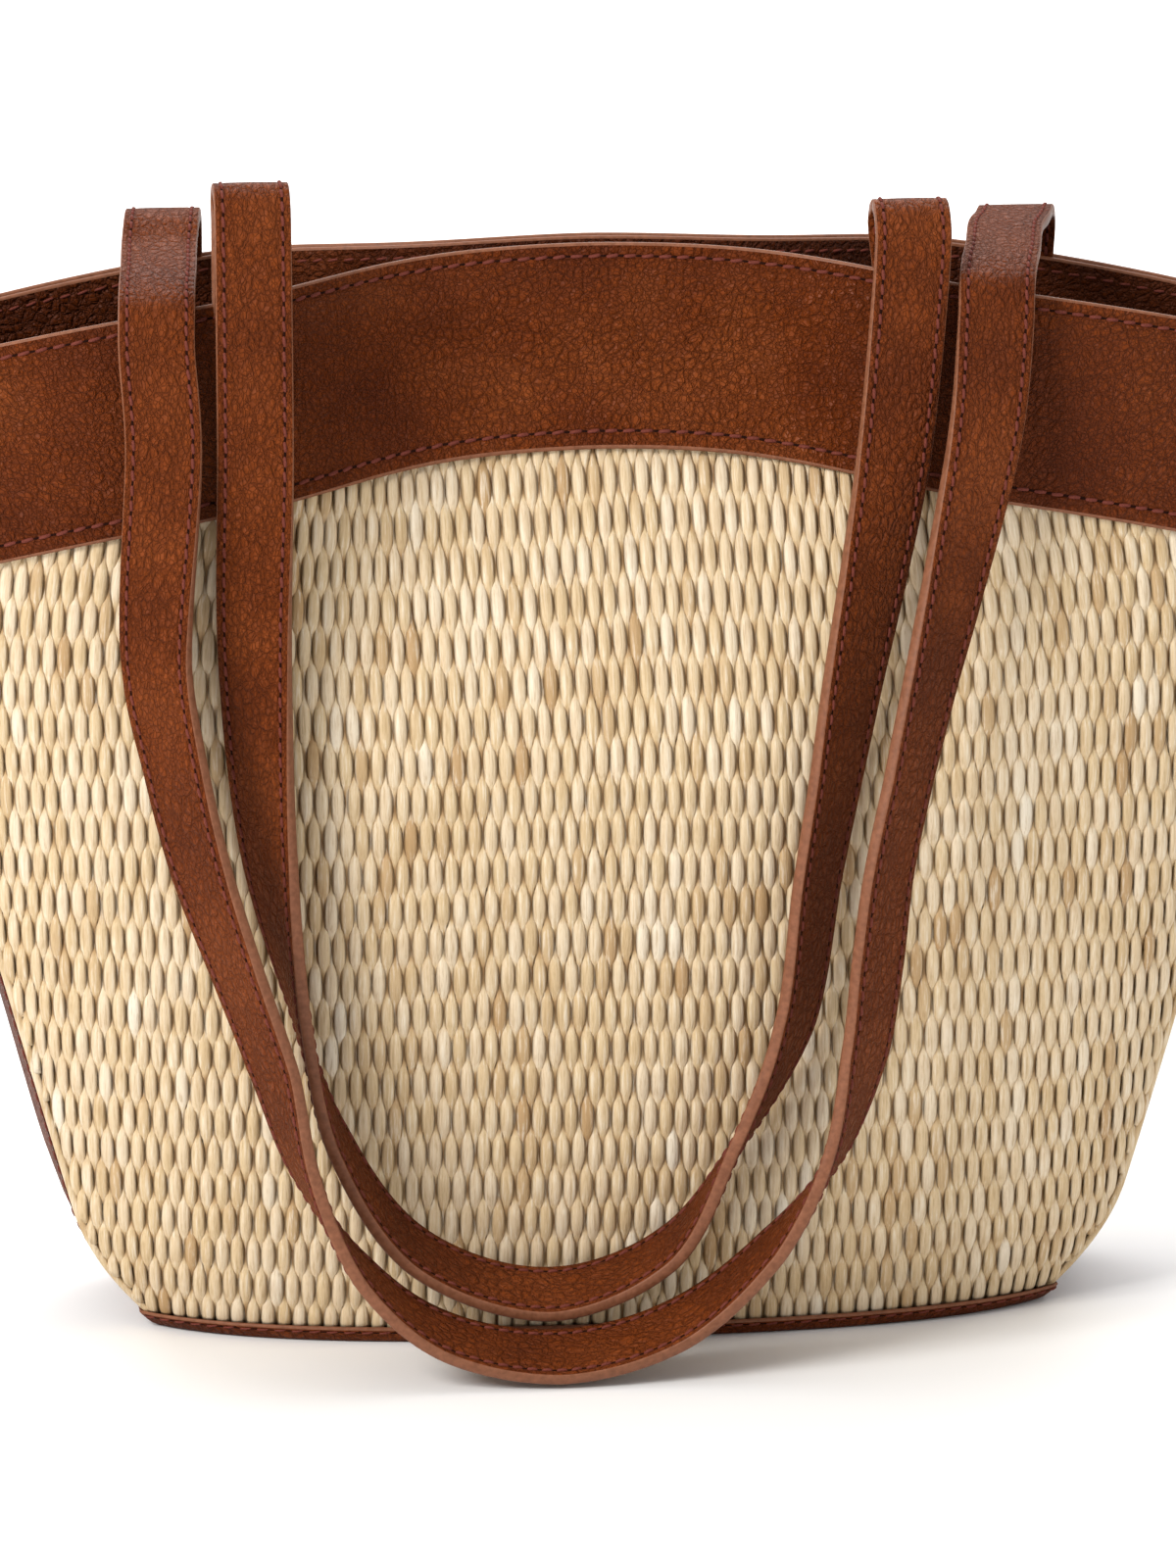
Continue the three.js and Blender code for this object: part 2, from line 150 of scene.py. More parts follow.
def wall_point(side, u, z):
    u, z = np.broadcast_arrays(np.asarray(u, float), np.asarray(z, float))
    angle = wall_angle(u)
    x = share_of_width(u) * seam_half_width(z)
    depth = half_depth(z) * plan_radius(angle) * np.sin(angle)
    pinch = PINCH * smooth(PINCH_FROM, PINCH_TO, z) * np.exp(-((x / PINCH_HALF_WIDTH) ** 4))
    return np.stack([x, side * depth * (1 - pinch), z], -1)


def rim_height(u):
    return RIM_HEIGHT - RIM_FALL * np.abs(share_of_width(u)) ** RIM_FALL_POWER


def gusset_point(side, v, z):
    v, z = np.broadcast_arrays(np.asarray(v, float), np.asarray(z, float))
    seam = wall_point(1, np.ones_like(z), z)
    fold = GUSSET_FOLD * smooth(150, SEAM_RIM, z)
    bulge = GUSSET_BULGE * smooth(10, 50, z) * (1 - smooth(110, 170, z))
    x = seam[..., 0] - (fold - bulge) * (1 - v * v)
    return np.stack([side * x, v * seam[..., 1], z], -1)


SURFACES = {
    "front": (lambda s, z: wall_point(-1, s, z), np.array([0, -1, 0])),
    "back": (lambda s, z: wall_point(1, s, z), np.array([0, 1, 0])),
    "left": (lambda s, z: gusset_point(-1, s, z), np.array([-1, 0, 0])),
    "right": (lambda s, z: gusset_point(1, s, z), np.array([1, 0, 0])),
}


def normal_at(surface, s, z):
    at, outward = SURFACES[surface]
    across = at(s + 1e-3, z) - at(s - 1e-3, z)
    up = at(s, z + 1) - at(s, z - 1)
    normal = unit(np.cross(across, up))
    return normal * np.where(normal @ outward < 0, -1, 1)[..., None]


def offset_point(surface, s, z, distance):
    distance = np.asarray(distance, float)[..., None]
    return SURFACES[surface][0](s, z) + normal_at(surface, s, z) * distance


# ---- making meshes ----
class Soup:
    """Vertices and faces gathered for one mesh, in millimetres.

    Each vertex also carries its place on the flat material and a tone."""

    def __init__(self):
        self.verts, self.flats, self.tones = [], [], []
        self.faces, self.mats, self.smooth = [], [], []
        self.count = 0

    def add(self, verts, faces, mats, flats=None, tone=0.5, flat_faces=()):
        verts = np.asarray(verts, float).reshape(-1, 3)
        flats = verts if flats is None else np.asarray(flats, float).reshape(-1, 3)
        self.verts.append(verts)
        self.flats.append(flats)
        self.tones.append(np.broadcast_to(np.asarray(tone, float), (len(verts),)))
        if np.isscalar(mats):
            mats = [mats] * len(faces)
        start = self.count
        self.faces.extend([tuple(int(i) + start for i in f) for f in faces])
        self.mats.extend(mats)
        flat_faces = set(flat_faces)
        self.smooth.extend([k not in flat_faces for k in range(len(faces))])
        self.count += len(verts)

    def build(self, name, materials):
        mesh = bpy.data.meshes.new(name)
        verts = np.concatenate(self.verts) * MM
        mesh.from_pydata(verts.tolist(), [], self.faces)
        for material in materials:
            mesh.materials.append(material)
        mesh.polygons.foreach_set("material_index", self.mats)
        mesh.polygons.foreach_set("use_smooth", self.smooth)
        flat = mesh.attributes.new("flat", "FLOAT_VECTOR", "POINT")
        flat.data.foreach_set("vector", (np.concatenate(self.flats) * MM).astype(np.float32).ravel())
        tone = mesh.attributes.new("tone", "FLOAT", "POINT")
        tone.data.foreach_set("value", np.concatenate(self.tones).astype(np.float32))
        mesh.update()
        obj = bpy.data.objects.new(name, mesh)
        bpy.context.scene.collection.objects.link(obj)
        return obj


def turned_out(verts, faces):
    """The faces, all reversed if they face inwards."""
    verts = np.asarray(verts, float).reshape(-1, 3)
    middle = verts.mean(0)
    volume = 0.0
    for f in faces:
        a = verts[f[0]] - middle
        for k in range(1, len(f) - 1):
            volume += a @ np.cross(verts[f[k]] - middle, verts[f[k + 1]] - middle)
    return faces if volume > 0 else [tuple(reversed(f)) for f in faces]


def loop_faces(rings, count, closed):
    """Quads between rings of count vertices each."""
    r = np.arange(rings if closed else rings - 1)[:, None]
    k = np.arange(count)[None, :]
    a = r * count + k
    b = r * count + (k + 1) % count
    c = ((r + 1) % rings) * count + (k + 1) % count
    d = ((r + 1) % rings) * count + k
    return np.stack([a, b, c, d], -1).reshape(-1, 4).tolist()


def tube_faces(rings, sides):
    """Quads round a tube, and a face over each end."""
    last = (rings - 1) * sides
    ends = [tuple(reversed(range(sides))), tuple(range(last, last + sides))]
    return loop_faces(rings, sides, False) + ends


def strip_caps(rings, count):
    """Faces that close each end of a long thin loop straight across."""
    faces = []
    last = (rings - 1) * count
    for j in range(count // 2 - 1):
        across = count - 1 - j
        faces.append((j, across, across - 1, j + 1))
        faces.append((last + j, last + j + 1, last + across - 1, last + across))
    return faces


# ---- profiles of thick sheets: each point is (share of the height, shift in mm, distance out) ----
GROOVE_DEPTH, GROOVE_WIDTH = 0.3, 0.5
GROOVE_POINTS = (-1.6, -0.7, -0.35, 0, 0.35, 0.7, 1.6)
SEAM_GROOVE_WIDTH = 0.9
SORT_HEIGHT = 60
ARC_STEPS = 6


def arc(share, sign, low, high):
    middle, radius = (low + high) / 2, (high - low) / 2
    points = []
    for k in range(ARC_STEPS + 1):
        turn = math.pi / 2 - math.pi * k / ARC_STEPS
        height = radius * math.cos(turn) - radius
        points.append((share, sign * height, middle + sign * radius * math.sin(turn)))
    return points


def sheet_profile(low, high, rows, grooves=(), inner_rows=4):
    """A rounded sheet's loop: up its outer face, over the top, down the inner face, round the bottom.

    grooves are stitch lines as (share, shift). Returns the points, the face kinds (1 on an edge)
    and the grooves."""
    outer = [(k / rows, 0.0) for k in range(1, rows)]
    for share, shift in grooves:
        outer += [(share, shift + d) for d in GROOVE_POINTS]
    outer.sort(key=lambda p: p[0] * SORT_HEIGHT + p[1])
    points = [(share, shift, high) for share, shift in outer]
    kinds = [0] * len(points)
    top = arc(1, 1, low, high)
    points += top
    kinds += [1] * (len(top) - 1) + [0]
    inner = [(1 - k / inner_rows, 0.0, low) for k in range(1, inner_rows)]
    points += inner
    kinds += [0] * len(inner)
    bottom = arc(0, -1, low, high)
    points += bottom
    kinds += [1] * (len(bottom) - 1) + [0]
    return points, kinds, grooves


def groove_depth(height, low, high, grooves):
    total = 0
    for share, shift in grooves:
        line = low + share * (high - low) + shift
        total = total + GROOVE_DEPTH * np.exp(-(((height - line) / GROOVE_WIDTH) ** 2))
    return total


# ---- the ring: stations round the whole plan outline ----
WALL_STEPS, GUSSET_STEPS = 150, 22
MITRE, INNER_MITRE = 1.15, 1.4375


def stations():
    """Places round the bag as (surface, s, is_corner), starting at the front's left seam."""
    def spread(steps):
        return [-0.995, *np.linspace(-1, 1, steps + 1)[1:-1].tolist(), 0.995]

    found = []
    for wall, gusset, way in (("front", "right", 1.0), ("back", "left", -1.0)):
        found.append((wall, -way, True))
        found += [(wall, way * s, False) for s in spread(WALL_STEPS)]
        found.append((wall, way, True))
        found += [(gusset, way * s, False) for s in spread(GUSSET_STEPS)]
    return found


RING = stations()
RING_SIZE = len(RING)
RIM = np.array([rim_height(s) if name in ("front", "back") else SEAM_RIM for name, s, _ in RING], float)


def ring_points(z, distance):
    """One point per station at a height and distance out. At a corner both faces share a mitred point."""
    z = np.broadcast_to(np.asarray(z, float), (RING_SIZE,))
    distance = np.broadcast_to(np.asarray(distance, float), (RING_SIZE,))
    out = np.zeros((RING_SIZE, 3))
    for name in SURFACES:
        picked = np.array([k for k, p in enumerate(RING) if p[0] == name and not p[2]])
        s = np.array([RING[k][1] for k in picked])
        out[picked] = offset_point(name, s, z[picked], distance[picked])
    for k, (name, s, corner) in enumerate(RING):
        if corner:
            side_name = "right" if s > 0 else "left"
            v = -1.0 if name == "front" else 1.0
            here, beside = (np.array([s]), z[k:k + 1]), (np.array([v]), z[k:k + 1])
            both = unit(normal_at(name, *here)[0] + normal_at(side_name, *beside)[0])
            reach = MITRE if distance[k] > 0 else INNER_MITRE
            out[k] = SURFACES[name][0](*here)[0] + both * distance[k] * reach
    return out


def ring_arc(z):
    """Distance round the ring at each station."""
    points = ring_points(z, 0.0)
    steps = np.linalg.norm(np.roll(points, -1, 0) - points, axis=1)
    return np.concatenate([[0], np.cumsum(steps)[:-1]])


def ring_line(z, distance):
    """Points and outward directions along a line on the ring, closed back to its start."""
    points = ring_points(z, distance)
    outward = unit(ring_points(z, distance + 1.0) - points)
    return np.vstack([points, points[:1]]), np.vstack([outward, outward[:1]])


def add_shell(soup, at, arc_length, low, high, sheet, shape, mats, closed, seam=0.0):
    """A thick sheet: one loop of its profile at each place along it.

    at(height, distance) gives the points; shape(arc, height, distance, high) gives the distance to use."""
    profile, kinds, grooves = sheet
    outer = profile[0][2] - 0.01
    layers, flats = [], []
    for share, shift, distance in profile:
        z = np.broadcast_to(low + share * (high - low) + shift, arc_length.shape)
        d = shape(arc_length, z, np.full(len(arc_length), float(distance)), high)
        if distance > outer:
            d = d - groove_depth(z, low, high, grooves) - seam
        layers.append(at(z, d))
        flats.append(np.stack([arc_length, z, d * 2], -1))
    verts = np.stack(layers, 1)
    rings, count = len(arc_length), len(profile)
    faces = loop_faces(rings, count, closed)
    face_mats = [mats[kinds[k % count]] for k in range(len(faces))]
    caps = [] if closed else strip_caps(rings, count)
    faces = turned_out(verts, faces + caps)
    face_mats += [mats[1]] * len(caps)
    flat_faces = range(len(faces) - len(caps), len(faces))
    soup.add(verts, faces, face_mats, np.stack(flats, 1), flat_faces=flat_faces)


def ring_shell(soup, low, high, sheet, shape, seam_groove=0.0):
    """A thick sheet that runs right round the bag, pressed in along the seams. Returns its arc lengths."""
    arc_length = ring_arc(SEAM_RIM - 20)
    corners = arc_length[[k for k, p in enumerate(RING) if p[2]]]
    to_corner = np.min(np.abs(arc_length[:, None] - corners[None, :]), axis=1)
    seam = seam_groove * np.exp(-((to_corner / SEAM_GROOVE_WIDTH) ** 2))
    add_shell(soup, ring_points, arc_length, low, high, sheet, shape, (0, 1), True, seam)
    return arc_length


def surface_shell(soup, surface, s, low, high, sheet, shape, mats=(0, 1)):
    """A thick sheet on one wall surface, closed at both ends."""
    arc_length = travelled(SURFACES[surface][0](s, (low + high) / 2))
    add_shell(soup, lambda z, distance: offset_point(surface, s, z, distance),
              arc_length, low, high, sheet, shape, mats, False)


# ---- stitches ----
BEAD_STEPS = ((-1, 0.4, -1.1), (-0.72, 0.9, 0.1), (0, 1, 0.45), (0.72, 0.9, 0.1), (1, 0.4, -1.1))
BEAD_SIDES = 6
THREAD_LIFT = 0.3
STITCH_SLANT, SLANT_SPREAD = 0.12, 0.03
# sizes of the dark beads of painted shade in the stitch holes
HOLE_OVERLAP = 0.9
HOLE_WIDTH, HOLE_SINK = 1.15, 0.85
THREAD_SLOT, HOLE_SHADE_SLOT = 2, 3


def bead(length, radius, lift):
    """A short length of thread: it comes up out of the leather, lies on it and goes down again.

    Its steps are (share of the half length, share of the radius, share of the lift)."""
    verts = []
    for t, size, height in BEAD_STEPS:
        for k in range(BEAD_SIDES):
            turn = 2 * math.pi * k / BEAD_SIDES
            verts.append((t * length / 2, radius * size * math.cos(turn),
                          lift * height + radius * size * math.sin(turn)))
    verts = np.array(verts)
    return verts, turned_out(verts, tube_faces(len(BEAD_STEPS), BEAD_SIDES))


def place_all(soup, template, faces, origin, along, across, up, mat, tone):
    """Copies a template to many frames."""
    along, up = unit(along), unit(up)
    across = unit(across - along * np.sum(across * along, -1, keepdims=True))
    count = len(template)
    verts = (origin[:, None, :] + template[None, :, 0:1] * along[:, None, :]
             + template[None, :, 1:2] * across[:, None, :] + template[None, :, 2:3] * up[:, None, :])
    placed = []
    for k in range(len(origin)):
        placed += [tuple(i + k * count for i in f) for f in faces]
    tones = np.repeat(tone, count) if np.ndim(tone) else tone
    soup.add(verts, placed, mat, tone=tones)


def stitch_line(soup, points, normals, pitch, length, seed, first=None, radius=0.34):
    """Stitches along a line of points, with a dark bead of painted shade in the hole between each two.

    first is the first stitch's distance along the line."""
    rng = np.random.default_rng(seed)
    travel = travelled(points)
    where = np.arange(pitch / 2 if first is None else first, travel[-1], pitch)
    if not len(where):
        return

    def pick(array, at):
        return np.stack([np.interp(at, travel, array[:, k]) for k in range(3)], -1)

    def heading(at):
        return unit(pick(points, at + 0.6) - pick(points, at - 0.6))

    along, up = heading(where), unit(pick(normals, where))
    lean = STITCH_SLANT + rng.normal(0, SLANT_SPREAD, len(where))[:, None]
    along = unit(along + np.cross(up, along) * lean)
    tones = rng.uniform(0, 1, len(where))
    place_all(soup, *bead(length, radius, THREAD_LIFT), pick(points, where), along,
              np.cross(up, along), up, THREAD_SLOT, tones)
    # dark beads sunk between the stitches: painted shade in the holes
    between = where[:-1] + pitch / 2
    along, up = heading(between), unit(pick(normals, between))
    origin = pick(points, between) - up * radius * HOLE_SINK
    place_all(soup, *bead(pitch - length + HOLE_OVERLAP, radius * HOLE_WIDTH, 0.0), origin, along,
              np.cross(up, along), up, HOLE_SHADE_SLOT, 0.5)


# ---- materials ----
def new_material(name):
    """A new material, the wires of its node tree and its shader."""
    material = bpy.data.materials.new(name)
    material.use_nodes = True
    nodes = material.node_tree.nodes
    nodes.clear()
    out = nodes.new("ShaderNodeOutputMaterial")
    shader = nodes.new("ShaderNodeBsdfPrincipled")
    material.node_tree.links.new(shader.outputs[0], out.inputs[0])
    return material, Wires(material.node_tree), shader


class Wires:
    """Short ways to add and join nodes."""

    def __init__(self, tree):
        self.tree = tree

    def node(self, kind, **settings):
        made = self.tree.nodes.new(kind)
        for key, value in settings.items():
            setattr(made, key, value)
        return made

    def link(self, a, b):
        self.tree.links.new(a, b)

    def attribute(self, name):
        return self.node("ShaderNodeAttribute", attribute_name=name)

    def coords(self, source, scale=(1, 1, 1)):
        mapping = self.node("ShaderNodeMapping")
        mapping.inputs["Scale"].default_value = scale
        self.link(source, mapping.inputs["Vector"])
        return mapping.outputs[0]

    def noise(self, vector, scale, detail, roughness=0.5, output="Fac"):
        made = self.node("ShaderNodeTexNoise")
        made.inputs["Scale"].default_value = scale
        made.inputs["Detail"].default_value = detail
        made.inputs["Roughness"].default_value = roughness
        self.link(vector, made.inputs["Vector"])
        return made.outputs[output]

    def creases(self, vector, cell, width):
        """0 along the edges of rounded cells, 1 inside them."""
        made = self.node("ShaderNodeTexVoronoi", feature="DISTANCE_TO_EDGE")
        made.inputs["Scale"].default_value = 1 / cell
        self.link(vector, made.inputs["Vector"])
        return self.span(made.outputs["Distance"], 0.0, width, 0.0, 1.0)

    def ramp(self, value, stops):
        made = self.node("ShaderNodeValToRGB")
        elements = made.color_ramp.elements
        while len(elements) < len(stops):
            elements.new(0.5)
        for element, (place, colour) in zip(elements, stops):
            element.position = place
            element.color = (*colour, 1)
        self.link(value, made.inputs[0])
        return made.outputs[0]

    def span(self, value, low, high, new_low, new_high):
        made = self.node("ShaderNodeMapRange")
        numbers = {"From Min": low, "From Max": high, "To Min": new_low, "To Max": new_high}
        for socket, number in numbers.items():
            made.inputs[socket].default_value = number
        self.link(value, made.inputs["Value"])
        return made.outputs["Result"]

    def math(self, operation, a, b):
        made = self.node("ShaderNodeMath", operation=operation)
        for socket, value in zip(made.inputs, (a, b)):
            if isinstance(value, (int, float)):
                socket.default_value = value
            else:
                self.link(value, socket)
        return made.outputs[0]

    def mix(self, factor, under, colour):
        """The given colour over another one, by a factor."""
        made = self.node("ShaderNodeMix", data_type="RGBA")
        self.link(factor, made.inputs[0])
        self.link(under, made.inputs[6])
        made.inputs[7].default_value = (*colour, 1)
        return made.outputs[2]

    def bump(self, height, distance, strength, base=None):
        made = self.node("ShaderNodeBump")
        made.inputs["Strength"].default_value = strength
        made.inputs["Distance"].default_value = distance
        self.link(height, made.inputs["Height"])
        if base is not None:
            self.link(base, made.inputs["Normal"])
        return made.outputs[0]


def leather(name, dark, mid, light, cell=0.0026, stretch=(1, 1, 1), roughness=0.42):
    """Pebbled leather: rounded cells with fine creases between them, darkened with painted shade."""
    material, w, shader = new_material(name)
    flat = w.attribute("flat").outputs["Vector"]
    spot = w.coords(flat, stretch)
    push = w.node("ShaderNodeVectorMath", operation="MULTIPLY_ADD")
    push.inputs[1].default_value = (cell * 1.1,) * 3
    w.link(w.noise(spot, 0.45 / cell, 2, output="Color"), push.inputs[0])
    w.link(spot, push.inputs[2])
    crease = w.creases(push.outputs[0], cell, 0.24)
    small_crease = w.creases(push.outputs[0], cell / 2.3, 0.14)
    patchy = w.noise(spot, 0.22 / cell, 3)
    strong = w.span(patchy, 0.35, 0.65, 0.5, 1.0)
    height = w.math("ADD", w.math("MULTIPLY", crease, strong), w.math("MULTIPLY", small_crease, 0.35))
    tint = w.ramp(w.noise(flat, 22, 3, 0.55), [(0.3, dark), (0.52, mid), (0.75, light)])
    # painted shade: the colour is darkened along the creases between the cells
    crease_shaded = w.mix(w.span(height, 0.0, 1.1, 0.6, 0.0), tint, tuple(c * 0.55 for c in dark))
    w.link(crease_shaded, shader.inputs["Base Color"])
    w.link(w.span(height, 0, 1.3, roughness + 0.2, roughness), shader.inputs["Roughness"])
    grain = w.bump(w.noise(flat, 2600, 2), 0.00003, 0.5)
    w.link(w.bump(height, 0.0008, 1.0, grain), shader.inputs["Normal"])
    shader.inputs["Specular IOR Level"].default_value = 0.11
    return material


def straw_material():
    """Pale raffia: each strand has its own tone, lengthwise streaks, and shiny and dull places; the low
    tones are painted shade where strands dive under.
    """
    material, w, shader = new_material("straw")
    tone = w.attribute("tone").outputs["Fac"]
    flat = w.attribute("flat").outputs["Vector"]
    streaks = w.noise(w.coords(flat, (1, 0.07, 0.3)), 1500, 3, 0.65)
    blotch = w.noise(w.coords(flat, (1, 0.45, 1)), 260, 2)
    # the darkest stops are reached only where the tone holds painted shade under the crossing strands
    base = w.ramp(tone, [
        (0.08, (0.20, 0.095, 0.03)), (0.3, (0.45, 0.285, 0.135)), (0.5, (0.62, 0.465, 0.27)),
        (0.68, (0.67, 0.525, 0.345)), (0.82, (0.71, 0.585, 0.42)), (1.0, (0.76, 0.67, 0.53)),
    ])
    fibre = w.mix(w.span(streaks, 0.32, 0.47, 0.5, 0.0), base, (0.36, 0.22, 0.09))
    pale = w.mix(w.span(streaks, 0.52, 0.68, 0.0, 0.6), fibre, (0.82, 0.73, 0.58))
    dull = w.mix(w.span(blotch, 0.25, 0.5, 0.3, 0.0), pale, (0.44, 0.29, 0.145))
    w.link(dull, shader.inputs["Base Color"])
    w.link(w.span(streaks, 0.3, 0.7, 0.62, 0.36), shader.inputs["Roughness"])
    w.link(w.bump(streaks, 0.0003, 0.9), shader.inputs["Normal"])
    shader.inputs["Specular IOR Level"].default_value = 0.35
    return material


def plain_material(
    name, low, high, scale, roughness, bump=0.0, metallic=0.0, stretch=(1, 1, 1), gloss=0.5,
):
    """A finish with speckle in colour, gloss and surface."""
    material, w, shader = new_material(name)
    flat = w.node("ShaderNodeTexCoord").outputs["Object"]
    speckle = w.noise(w.coords(flat, stretch), scale, 4)
    w.link(w.ramp(speckle, [(0.3, low), (0.7, high)]), shader.inputs["Base Color"])
    w.link(w.span(speckle, 0.3, 0.7, roughness - 0.07, roughness + 0.09), shader.inputs["Roughness"])
    if bump:
        w.link(w.bump(speckle, bump, 0.7), shader.inputs["Normal"])
    shader.inputs["Metallic"].default_value = metallic
    shader.inputs["Specular IOR Level"].default_value = gloss
    return material


def cloth_material(name, low, high, pitch):
    """A plain-woven cloth: two crossing sets of fine threads, with painted shade between them."""
    material, w, shader = new_material(name)
    flat = w.attribute("flat").outputs["Vector"]
    threads = []
    for direction in ("X", "Y"):
        wave = w.node("ShaderNodeTexWave", wave_type="BANDS", bands_direction=direction)
        wave.inputs["Scale"].default_value = 1 / (pitch * 2 * math.pi) * 3.1
        wave.inputs["Distortion"].default_value = 0.6
        w.link(flat, wave.inputs["Vector"])
        threads.append(wave.outputs["Fac"])
    weave = w.math("MULTIPLY", *threads)
    patch = w.noise(flat, 60, 3)
    tint = w.ramp(patch, [(0.3, low), (0.7, high)])
    # painted shade: the colour is darkened in the gaps between the threads
    gap_shaded = w.mix(w.span(weave, 0, 0.6, 0.45, 0), tint, tuple(c * 0.4 for c in low))
    w.link(gap_shaded, shader.inputs["Base Color"])
    w.link(w.span(patch, 0.3, 0.7, 0.82, 0.95), shader.inputs["Roughness"])
    w.link(w.bump(weave, 0.00012, 0.8), shader.inputs["Normal"])
    shader.inputs["Sheen Weight"].default_value = 0.2
    return material


LEATHER = leather(
    "leather", (0.093, 0.0160, 0.0018), (0.154, 0.0300, 0.0036), (0.215, 0.050, 0.0095))
STRAP_LEATHER = leather(
    "strap_leather", (0.105, 0.0190, 0.0022), (0.176, 0.0360, 0.0048), (0.245, 0.058, 0.0120),
    cell=0.0024, stretch=(1, 0.7, 1), roughness=0.5)
# the same leather made darker for the facing inside the mouth: painted shade
SHADED_FACING_LEATHER = leather(
    "facing_leather", (0.062, 0.0115, 0.0018), (0.095, 0.0195, 0.0035), (0.135, 0.031, 0.0075))
STRAW = straw_material()
# dark sheet behind the strands: the weft's colour in the gaps, darkened with painted shade
STRAW_CORE_WITH_SHADE = plain_material("straw_core_and_painted_shade", (0.17, 0.085, 0.028), (0.36, 0.215, 0.085), 900, 0.8, 0.0002)
EDGE = plain_material(
    "edge_paint", (0.165, 0.058, 0.026), (0.25, 0.096, 0.048), 700, 0.5, 0.00005, gloss=0.25)
THREAD = plain_material(
    "thread", (0.105, 0.022, 0.015), (0.185, 0.047, 0.032), 3500, 0.7, 0.0001, gloss=0.12)
# dark beads in the stitch holes: painted shade
HOLE_SHADE = plain_material(
    "stitch_hole_shade", (0.010, 0.003, 0.002), (0.022, 0.006, 0.004), 3000, 0.9, gloss=0.05)
LINING = cloth_material("lining_cloth", (0.012, 0.009, 0.008), (0.028, 0.021, 0.018), 0.0005)
BOARD = plain_material("board", (0.19, 0.14, 0.09), (0.30, 0.23, 0.15), 500, 0.9, 0.0001)
BRASS = plain_material(
    "snap_metal", (0.42, 0.28, 0.11), (0.62, 0.45, 0.21), 1200, 0.3, 0.00002, 1.0, (1, 0.2, 1))
STEEL = plain_material(
    "plate_metal", (0.33, 0.33, 0.34), (0.5, 0.5, 0.5), 1200, 0.38, 0.00002, 1.0)

# ---- woven straw ----
STRAND_PITCH = 2.1
ROW_PITCH = 9.6
FIRST_ROW = WALL_START + 3.2
RINGS_PER_ROW = 5
FIRST_LEVEL, TOP_LEVEL, TOP_END, EDGE_GAP = FIRST_ROW - 2.4, RIM_HEIGHT - BAND_HEIGHT + 6, 5, 1.1
STRAND_OVER, STRAND_UNDER = -0.34, -1.45
CROWN_OVER, CROWN_UNDER = 0.92, 0.68
HALF_WIDTH_OVER, HALF_WIDTH_CROSSING, HALF_WIDTH_UNDER = 1.86, 1.12, 0.95
STRAND_SECTION = np.array([(-1, 0.12), (-0.62, 0.8), (0, 1.0), (0.62, 0.8), (1, 0.12)])
CORE = (-2.3, -1.65)
EDGE_STRAND_INSET, EDGE_STRAND_RADIUS, EDGE_STRAND_LIFT = 1.0, 1.15, -0.3
EDGE_STRAND_SIDES = 8


def row_arcs(side, z):
    u = np.linspace(-1, 1, 801)
    travel = travelled(wall_point(side, u, z))
    return u, travel - np.interp(0, u, travel)


def strand_field(side, seed, levels, index):
    """Where every strand lies on the wall at every level, and its phase in the weave."""
    rng = np.random.default_rng(seed)
    z = levels[:, None]
    lead = rng.uniform(0, 2 * math.pi, (2, len(index)))
    wander = 0.10 * np.sin(z * 0.045 + lead[0]) + 0.06 * np.sin(z * 0.13 + lead[1])
    arc_place = (index + 0.5)[None, :] * STRAND_PITCH + wander
    row_wave = 1.1 * ripple(arc_place, z * 0.7, 110, seed + 2)
    row_wave = row_wave + rng.normal(0, 0.3, len(index))[None, :]
    phase = math.pi * ((z + row_wave - FIRST_ROW) / ROW_PITCH + index[None, :])
    u = np.zeros_like(arc_place)
    reach = np.zeros(len(levels))
    for k, level in enumerate(levels):
        u_grid, arcs = row_arcs(side, level)
        reach[k] = arcs[-1]
        u[k] = np.interp(arc_place[k], arcs, u_grid)
    return arc_place, u, reach, phase


def add_tube(soup, verts, flats, tones):
    """A closed tube through rings of points."""
    rings, sides = verts.shape[:2]
    faces = turned_out(verts, tube_faces(rings, sides))
    soup.add(verts, faces, 0, flats, np.repeat(tones, sides))


def strand_rings(surface, u, z, arc_place, sideways, height):
    """The points of strands on the wall, and their places on the flat material."""
    ground = SURFACES[surface][0](u, z)
    normal = normal_at(surface, u, z)
    across = unit(np.cross(unit(np.gradient(ground, axis=0)), normal))
    verts = (ground[..., None, :] + sideways[..., None] * across[..., None, :]
             + height[..., None] * normal[..., None, :])
    level = np.broadcast_to(z[..., None], sideways.shape)
    return verts, np.stack([arc_place[..., None] + sideways, level, height * 2], -1)


def strand_tones_with_shade(seed, phase, index, arc_place, z):
    """A tone for each float of each strand, with painted shade where the strand dives under its
    neighbours.
    """
    rng = np.random.default_rng(seed + 7)
    floats = np.floor((phase / math.pi + 1) / 2).astype(int)
    floats = floats - floats.min()
    own = rng.normal(0, 0.11, (floats.max() + 1, len(index))) + rng.normal(0, 0.05, len(index))[None, :]
    tone = np.take_along_axis(own, floats, 0) + 0.6 + 0.06 * ripple(arc_place, z, 60, seed + 5)
    # painted shade: a strand is darkened where it dives under its neighbours
    under = 1 - smooth(-0.95, -0.1, np.cos(phase))
    return np.clip(tone, 0.3, 1) * (1 - 0.75 * under)


